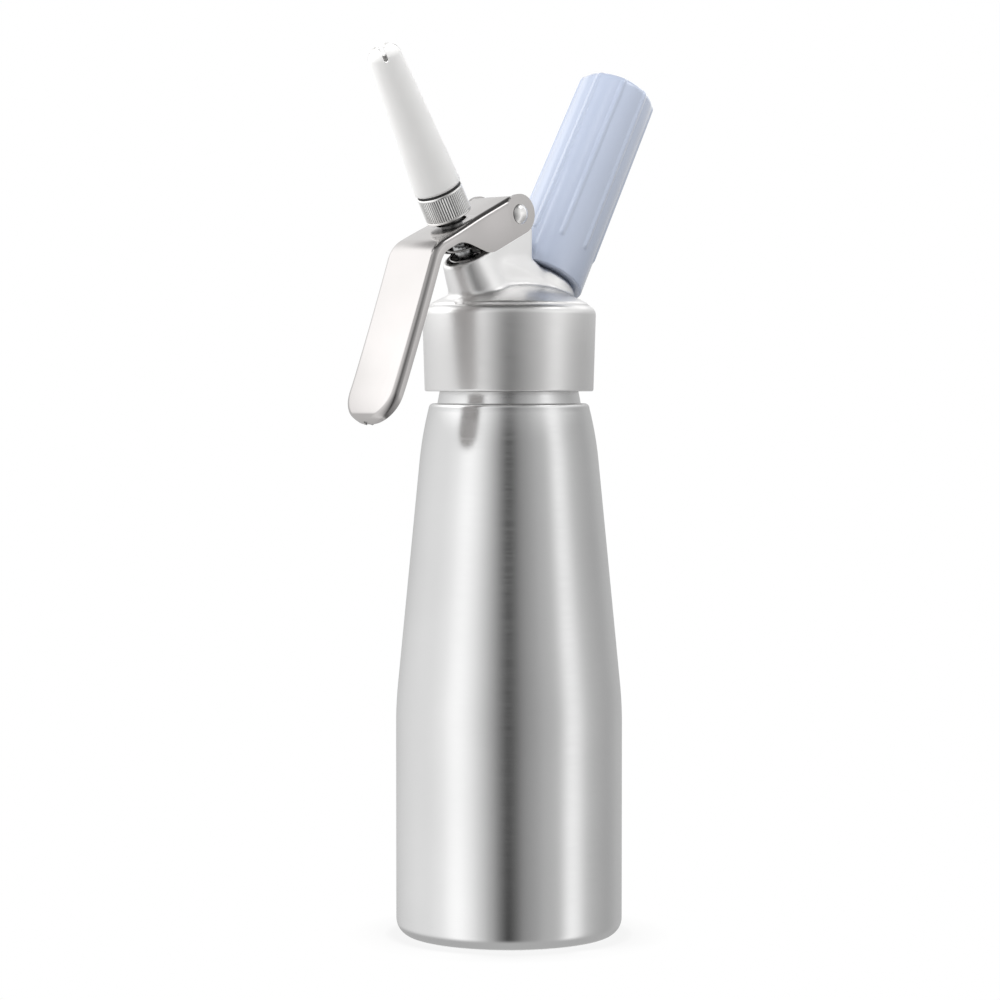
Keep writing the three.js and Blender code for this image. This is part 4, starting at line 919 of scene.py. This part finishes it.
# Nozzle: a matte white moulding, thin walled and slightly waisted, whose domed tip is slotted
# into petals that shape the cream.
nozzle_foot = 10.5
nozzle_length = 54.0
nozzle_top = nozzle_foot + nozzle_length
nozzle_base = 8.35
nozzle_middle = 6.6
nozzle_tip = 5.85
nozzle_tip_round = 4.4
slot_width = 1.5
slot_depth = 4.8
slot_turn = radians(49)
slot_flare = 0.75
white_plastic = surface(
    "white_plastic", (0.89, 0.885, 0.875), (0.86, 0.855, 0.845), 0.5, 0.06, (1200, 1200, 1200), 4e-6,
    metallic=0.0, cloud_scale=90, turn=valve_place, Subsurface_Weight=0.15, Subsurface_Radius=(1, 1, 1),
    Subsurface_Scale=0.002)
waist = nozzle_foot + nozzle_length * 2 / 3
tip_foot = nozzle_top - nozzle_tip_round
mouth_radius = nozzle_tip - nozzle_tip_round - 0.35
waist_line = sweep(
    (nozzle_base, nozzle_foot + 1.0), (nozzle_middle + 0.4, waist - 12), (nozzle_middle, waist), 16)
nozzle = turned(
    "nozzle_moulding",
    [(nozzle_base - 0.6, nozzle_foot), (nozzle_base - 0.1, nozzle_foot + 0.5),
     (nozzle_base, nozzle_foot + 0.8), *waist_line,
     *arc(nozzle_tip - nozzle_tip_round, tip_foot, nozzle_tip_round, 0, 90, 20),
     (mouth_radius, nozzle_top), (mouth_radius, nozzle_top - 0.95), (nozzle_tip - 1.9, tip_foot),
     (4.83, 16.5), (5.3, 16.5), (5.3, nozzle_foot)], 144, valve_place)


def slot_line(half, low, mouth):
    """A slot's section: a round bottom, straight sides and a mouth that opens in a round."""
    edge = half + slot_flare
    right = [
        *arc(0, low + half, half, -90, 0, 6), *arc(edge, mouth, slot_flare, 180, 90, 6), (edge, mouth + 4)]
    return right + [(-x, z) for x, z in right[::-1][:-1]]


slot_section = slot_line(slot_width / 2, nozzle_top - slot_depth, nozzle_top - 1.5)
for i in range(2):
    across = valve_place @ Matrix.Rotation(slot_turn + pi * i / 2, 4, "Z") @ side_view
    cut_by(nozzle, plate(f"slot_{i}", slot_section, -10, 10, across))
applied(nozzle, "BEVEL", width=0.18 * MM, segments=2, limit_method="ANGLE", angle_limit=radians(50))
smoothed(nozzle.data, 45)
dressed(nozzle, white_plastic, "nozzle", "white_plastic", "nozzle")

# Gas charger: a deep-drawn steel capsule that stands neck down on the pin, with a pressed
# seal in its neck. The holder hides it.
capsule_steel = surface(
    "capsule_steel", (0.66, 0.66, 0.65), (0.56, 0.56, 0.55), 0.28, 0.06, (400, 400, 3000), 5e-6,
    turn=charger_place, cloud_scale=60)
seal_foil = surface(
    "seal_foil", (0.8, 0.79, 0.77), (0.72, 0.71, 0.69), 0.24, 0.06, (900, 900, 900), 4e-6,
    turn=charger_place)
dress_nodes(capsule_steel, "charger_capsule")
dress_nodes(seal_foil, "charger_seal")

# Charger holder: a glossy pale blue moulding, a deep tapered cup that screws over the stub. Thin
# ribs for grip start above its rim and die out in the rounding of its top.
holder_length = 80.4
holder_rim = 15.1
holder_top = 14.1
holder_round = 3.2
rib_count = 9
rib_turn = radians(31.5)
rib_width = 3.0
rib_height = 0.47
rib_start = 12.0
rib_run_out = 2.0
rim_round = 0.8
thread_bore = 10.8
thread_end = 16.0
thread_edge = 0.4
capsule_bore = 9.75
bore_end = 75.65
bore_round = 5.0


def rib_tree():
    """Raises thin ribs on the outside of a round cup about Z, from a start height to its top."""
    tree, given, out = new_group("grip_ribs", {
        "Geometry": "Geometry", "Material": "Material",
        "Float": "Ribs, Turn, Width, Height, Start, Run Out, Top Foot, Top Round, Outside"})
    calc = partial(worked_out, tree)
    position = node_in(tree, "GeometryNodeInputPosition")
    x, y, z = node_in(tree, "ShaderNodeSeparateXYZ", Vector=position).outputs
    radius = calc("SQRT", calc("ADD", calc("MULTIPLY", x, x), calc("MULTIPLY", y, y)))
    angle = calc("SUBTRACT", calc("ARCTAN2", y, x), given["Turn"])
    pitch = calc("DIVIDE", 2 * pi, given["Ribs"])
    from_rib = calc("WRAP", angle, calc("MULTIPLY", pitch, 0.5), calc("MULTIPLY", pitch, -0.5))
    beside_rib = calc("DIVIDE", calc("MULTIPLY", from_rib, radius), given["Width"])
    within = calc("MINIMUM", calc("ABSOLUTE", beside_rib), 0.5)
    wave = calc("COSINE", calc("MULTIPLY", within, 2 * pi))
    across = calc("MULTIPLY_ADD", wave, 0.5, 0.5)
    rise = calc("DIVIDE", calc("SUBTRACT", z, given["Start"]), given["Run Out"], clamp=True)
    run = calc("MULTIPLY", calc("MULTIPLY", rise, rise), calc("SUBTRACT", 3, calc("MULTIPLY", rise, 2)))
    fall = calc("DIVIDE", calc("SUBTRACT", z, given["Top Foot"]), given["Top Round"], clamp=True)
    die = calc("SQRT", calc("SUBTRACT", 1, calc("MULTIPLY", fall, fall), clamp=True))
    outer = calc("GREATER_THAN", radius, given["Outside"])
    height = calc("MULTIPLY", calc("MULTIPLY", across, run), calc("MULTIPLY", outer, given["Height"]))
    share = calc("DIVIDE", calc("MULTIPLY", height, die), calc("MAXIMUM", radius, 0.001))
    flat = node_in(tree, "ShaderNodeCombineXYZ", X=x, Y=y)
    outward = node_in(tree, "ShaderNodeVectorMath", operation="SCALE", Vector=flat, Scale=share)
    raised = node_in(tree, "GeometryNodeSetPosition", Geometry=given["Geometry"], Offset=outward)
    return ended(tree, raised, given, out)


blue_plastic = surface(
    "blue_plastic", (0.47, 0.525, 0.65), (0.455, 0.51, 0.635), 0.16, 0.03, (500, 500, 500), 2e-6,
    metallic=0.0, cloud_scale=50, turn=charger_place, Coat_Weight=1.0, Coat_Roughness=0.06)
taper = (holder_rim - holder_top) / holder_length
round_foot = holder_length - holder_round
side_heights = [rim_round, 5, 10, rib_start] + [rib_start + rib_run_out * i / 8 for i in range(1, 9)]
rib_full = rib_start + rib_run_out
side_heights += [rib_full + (round_foot - rib_full) * i / 24 for i in range(1, 25)]
cup_sides = [(holder_rim - taper * h, h) for h in side_heights]
top_round = arc(holder_top - holder_round, round_foot, holder_round, 0, 90, 16)
top_face = [((holder_top - holder_round) * (1 - i / 5), holder_length) for i in range(1, 5)]
holder_cup = turned(
    "holder_cup",
    [*arc(holder_rim - rim_round, rim_round, rim_round, -90, 0, 6)[:-1], *cup_sides[:-1], *top_round,
     *top_face, (0, holder_length), (0, bore_end), (capsule_bore - bore_round, bore_end),
     *arc(capsule_bore - bore_round, bore_end - bore_round, bore_round, 90, 0, 8)[1:],
     (capsule_bore, thread_end + 1.05), (thread_bore, thread_end), (thread_bore, thread_edge),
     (thread_bore + thread_edge, 0)], 720)
holder = formed(
    holder_cup, rib_tree(), blue_plastic, charger_place, Ribs=float(rib_count), Turn=rib_turn,
    Width=rib_width * MM, Height=rib_height * MM, Start=rib_start * MM, Run_Out=rib_run_out * MM,
    Top_Foot=round_foot * MM, Top_Round=holder_round * MM, Outside=12 * MM)
smoothed(holder.data, 50)
dressed(holder, blue_plastic, "holder", "blue_plastic", "charger_holder")
thread(
    "holder_thread", blue_plastic, "holder", "blue_plastic", radius=thread_bore, low=2.75,
    turns=charger_turns, pitch=charger_pitch, section=0.38, place=charger_place)

# Studio: a plain white floor in a white room, and round the object a tent of white cloth with
# grey flags hung in it, whose edges give bright metal its bands. The camera looks in past it.
camera_height = 191.0
camera_distance = 1064.0
camera_aside = 3.2
aim_height = 154.0
view_angle = radians(-45)
tent_radius = 600.0
tent_height = 1200.0
tent_foot = 44.0
floor_level = -0.02
floor_radius = 900.0
shadow_edge = 0.041
lamp_aim = (0, 0, 0.2)


def studio_world():
    """Plain white all round, at the strength that shows as white."""
    world = bpy.data.worlds.new("studio")
    bpy.context.scene.world = world
    world.use_nodes = True
    world.node_tree.nodes["Background"].inputs["Color"].default_value = (1, 1, 1, 1)


def tent_cloth():
    """White cloth with grey flags at set bearings, in rows one above another."""
    material, tree, unused = new_material("tent_cloth")
    tree.nodes.remove(unused)
    calc = partial(worked_out, tree)
    where = node_in(tree, "ShaderNodeTexCoord").outputs["Object"]
    turned_to = node_in(
        tree, "ShaderNodeVectorRotate", rotation_type="Z_AXIS", Vector=where, Angle=radians(225))
    x, y, z = node_in(tree, "ShaderNodeSeparateXYZ", Vector=turned_to).outputs
    bearing = calc("MULTIPLY", calc("ARCTAN2", x, y), -1)
    distance = calc("SQRT", calc("ADD", calc("MULTIPLY", x, x), calc("MULTIPLY", y, y)))
    near = calc("MINIMUM", calc("DIVIDE", bottle_radius * MM, distance), 1)
    normal = calc("DIVIDE", bearing, calc("SUBTRACT", 2, near))
    heading = calc("ADD", bearing, calc("ARCSINE", calc("MULTIPLY", near, calc("SINE", normal))))
    share = calc("MULTIPLY_ADD", heading, 1 / (2 * pi), 0.5)
    brightest = 3
    rows = (
        (0.0, 0.1, (
            (-180, 0.55), (-146, 0.68), (-114, 0.79), (-87, 0.82), (-70, 0.93), (-57, 1.1), (-45, 1.02),
            (-33, 0.78), (-23, 0.54), (-14, 0.32), (-4, 0.1), (3, 0.1), (13, 0.26), (32, 0.42), (52, 0.58),
            (66, 0.98), (85, 0.6), (114, 0.42), (142, 0.49), (180, 0.55))),
        (0.21, 0.27, (
            (-180, 0.8), (-150, 1.0), (-125, 1.35), (-98, 1.9), (-72, 1.9), (-58, 1.25), (-45, 1.1),
            (-33, 0.98), (-14, 0.5), (-4, 0.26), (3, 0.25), (13, 0.38), (32, 0.56), (52, 0.9), (66, 1.15),
            (90, 1.0), (118, 0.8), (150, 0.75), (180, 0.8))),
        (0.28, 0.33, (
            (-180, 1.0), (-150, 1.2), (-125, 1.75), (-95, 1.8), (-66, 1.75), (-56, 0.7), (-33, 0.7),
            (0, 0.42), (30, 0.55), (58, 0.9), (76, 0.85), (104, 0.85), (124, 1.0), (152, 1.5), (180, 1.0))),
        (0.47, 0.55, (
            (-180, 0.3), (-120, 0.6), (-90, 0.7), (-76, 0.4), (-60, 0.4), (-55, 1.8), (-49, 1.8), (-44, 0.7),
            (0, 0.4), (55, 0.5), (75, 2.2), (100, 2.2), (120, 0.5), (180, 0.3))),
        (1.18, 1.19, ((-180, 0.1), (0, 0.1))))
    shown = None
    for low, high, flags in rows:
        ramp = node_in(tree, "ShaderNodeValToRGB", Fac=share)
        ramp.color_ramp.interpolation = "CARDINAL"
        elements = ramp.color_ramp.elements
        for i, (degree, level) in enumerate(flags):
            element = elements[i] if i < 2 else elements.new(degree / 360 + 0.5)
            element.position = degree / 360 + 0.5
            element.color = (level / brightest, level / brightest, level / brightest, 1)
        if not shown:
            shown = ramp.outputs["Color"]
            continue
        height = node_in(tree, "ShaderNodeMapRange", Value=z, From_Min=low, From_Max=high)
        shown = mixed(tree, height, shown, ramp.outputs["Color"])
    foot = node_in(tree, "ShaderNodeMapRange", Value=distance, From_Min=shadow_edge, From_Max=0.0445)
    soft = mixed(tree, foot, (0.15, 0.15, 0.15, 1), shown)
    glow = node_in(tree, "ShaderNodeEmission", Strength=brightest, Color=soft)
    fed(tree.nodes["Material Output"].inputs["Surface"], glow)
    return material


def floor_material():
    """White floor that keeps the shadow close to the object and turns plain white away from it."""
    material, tree, painted = new_material("white_floor")
    with_values(painted, Base_Color=(0.9, 0.9, 0.9, 1), Roughness=0.9, Specular_IOR_Level=0.1)
    where = node_in(tree, "ShaderNodeTexCoord").outputs["Object"]
    away = node_in(tree, "ShaderNodeVectorMath", operation="LENGTH", Vector=where)
    fade = node_in(
        tree, "ShaderNodeMapRange", Value=away.outputs["Value"], From_Min=shadow_edge, From_Max=0.058,
        To_Min=0.85)
    rays = node_in(tree, "ShaderNodeLightPath").outputs
    looked_at = worked_out(tree, "MAXIMUM", rays["Is Camera Ray"], rays["Is Glossy Ray"])
    looked_at = worked_out(tree, "MAXIMUM", looked_at, rays["Is Transmission Ray"])
    mix = node_in(tree, "ShaderNodeMixShader", Fac=worked_out(tree, "MULTIPLY", fade, looked_at))
    fed(mix.inputs[1], painted)
    fed(mix.inputs[2], node_in(tree, "ShaderNodeEmission"))
    fed(tree.nodes["Material Output"].inputs["Surface"], mix)
    return material


def aimed(thing, place, target):
    """Puts a lamp or a camera at a place and turns it to look at another."""
    thing.location = place
    thing.rotation_euler = (Vector(target) - Vector(place)).to_track_quat("-Z", "Y").to_euler()


studio_world()
floor = turned("floor", [(0, floor_level), (floor_radius, floor_level)], 96, solid=False)
floor.data.flip_normals()
floor.data.materials.append(floor_material())
tent_line = [(0, tent_height), (tent_radius, tent_height), (tent_foot, 0.4), (36.5, 0.2)]
tent = turned("light_cone", tent_line, 128, solid=False)
tent.data.materials.append(tent_cloth())
tent.visible_camera = False
for name, place, size, watts in (
        ("lamp_left", (-0.3, 0.08, 0.85), 0.16, 1.6), ("lamp_front", (-0.24, -0.24, 0.8), 0.16, 1.5),
        ("lamp_right", (0.1, -0.32, 0.8), 0.16, 0.2), ("lamp_top", (0.0, 0.0, 1.1), 0.3, 0.6)):
    light = bpy.data.lights.new(name, "AREA")
    light.shape, light.size, light.energy = "DISK", size, watts
    lamp = placed(name, light)
    lamp.visible_glossy = lamp.visible_camera = False
    aimed(lamp, place, lamp_aim)
camera = placed("camera", bpy.data.cameras.new("camera"))
camera.data.sensor_width = 36
camera.data.lens = 108.4
camera.data.clip_start = 0.05
aside = Vector((-sin(pi / 4), sin(pi / 4), 0)) * camera_aside * MM
eye = Vector((camera_distance * sin(view_angle), -camera_distance * cos(view_angle), camera_height)) * MM
aimed(camera, eye + aside, Vector((0, 0, aim_height)) * MM + aside)
bpy.context.scene.camera = camera
bpy.context.scene.view_settings.view_transform = "Standard"
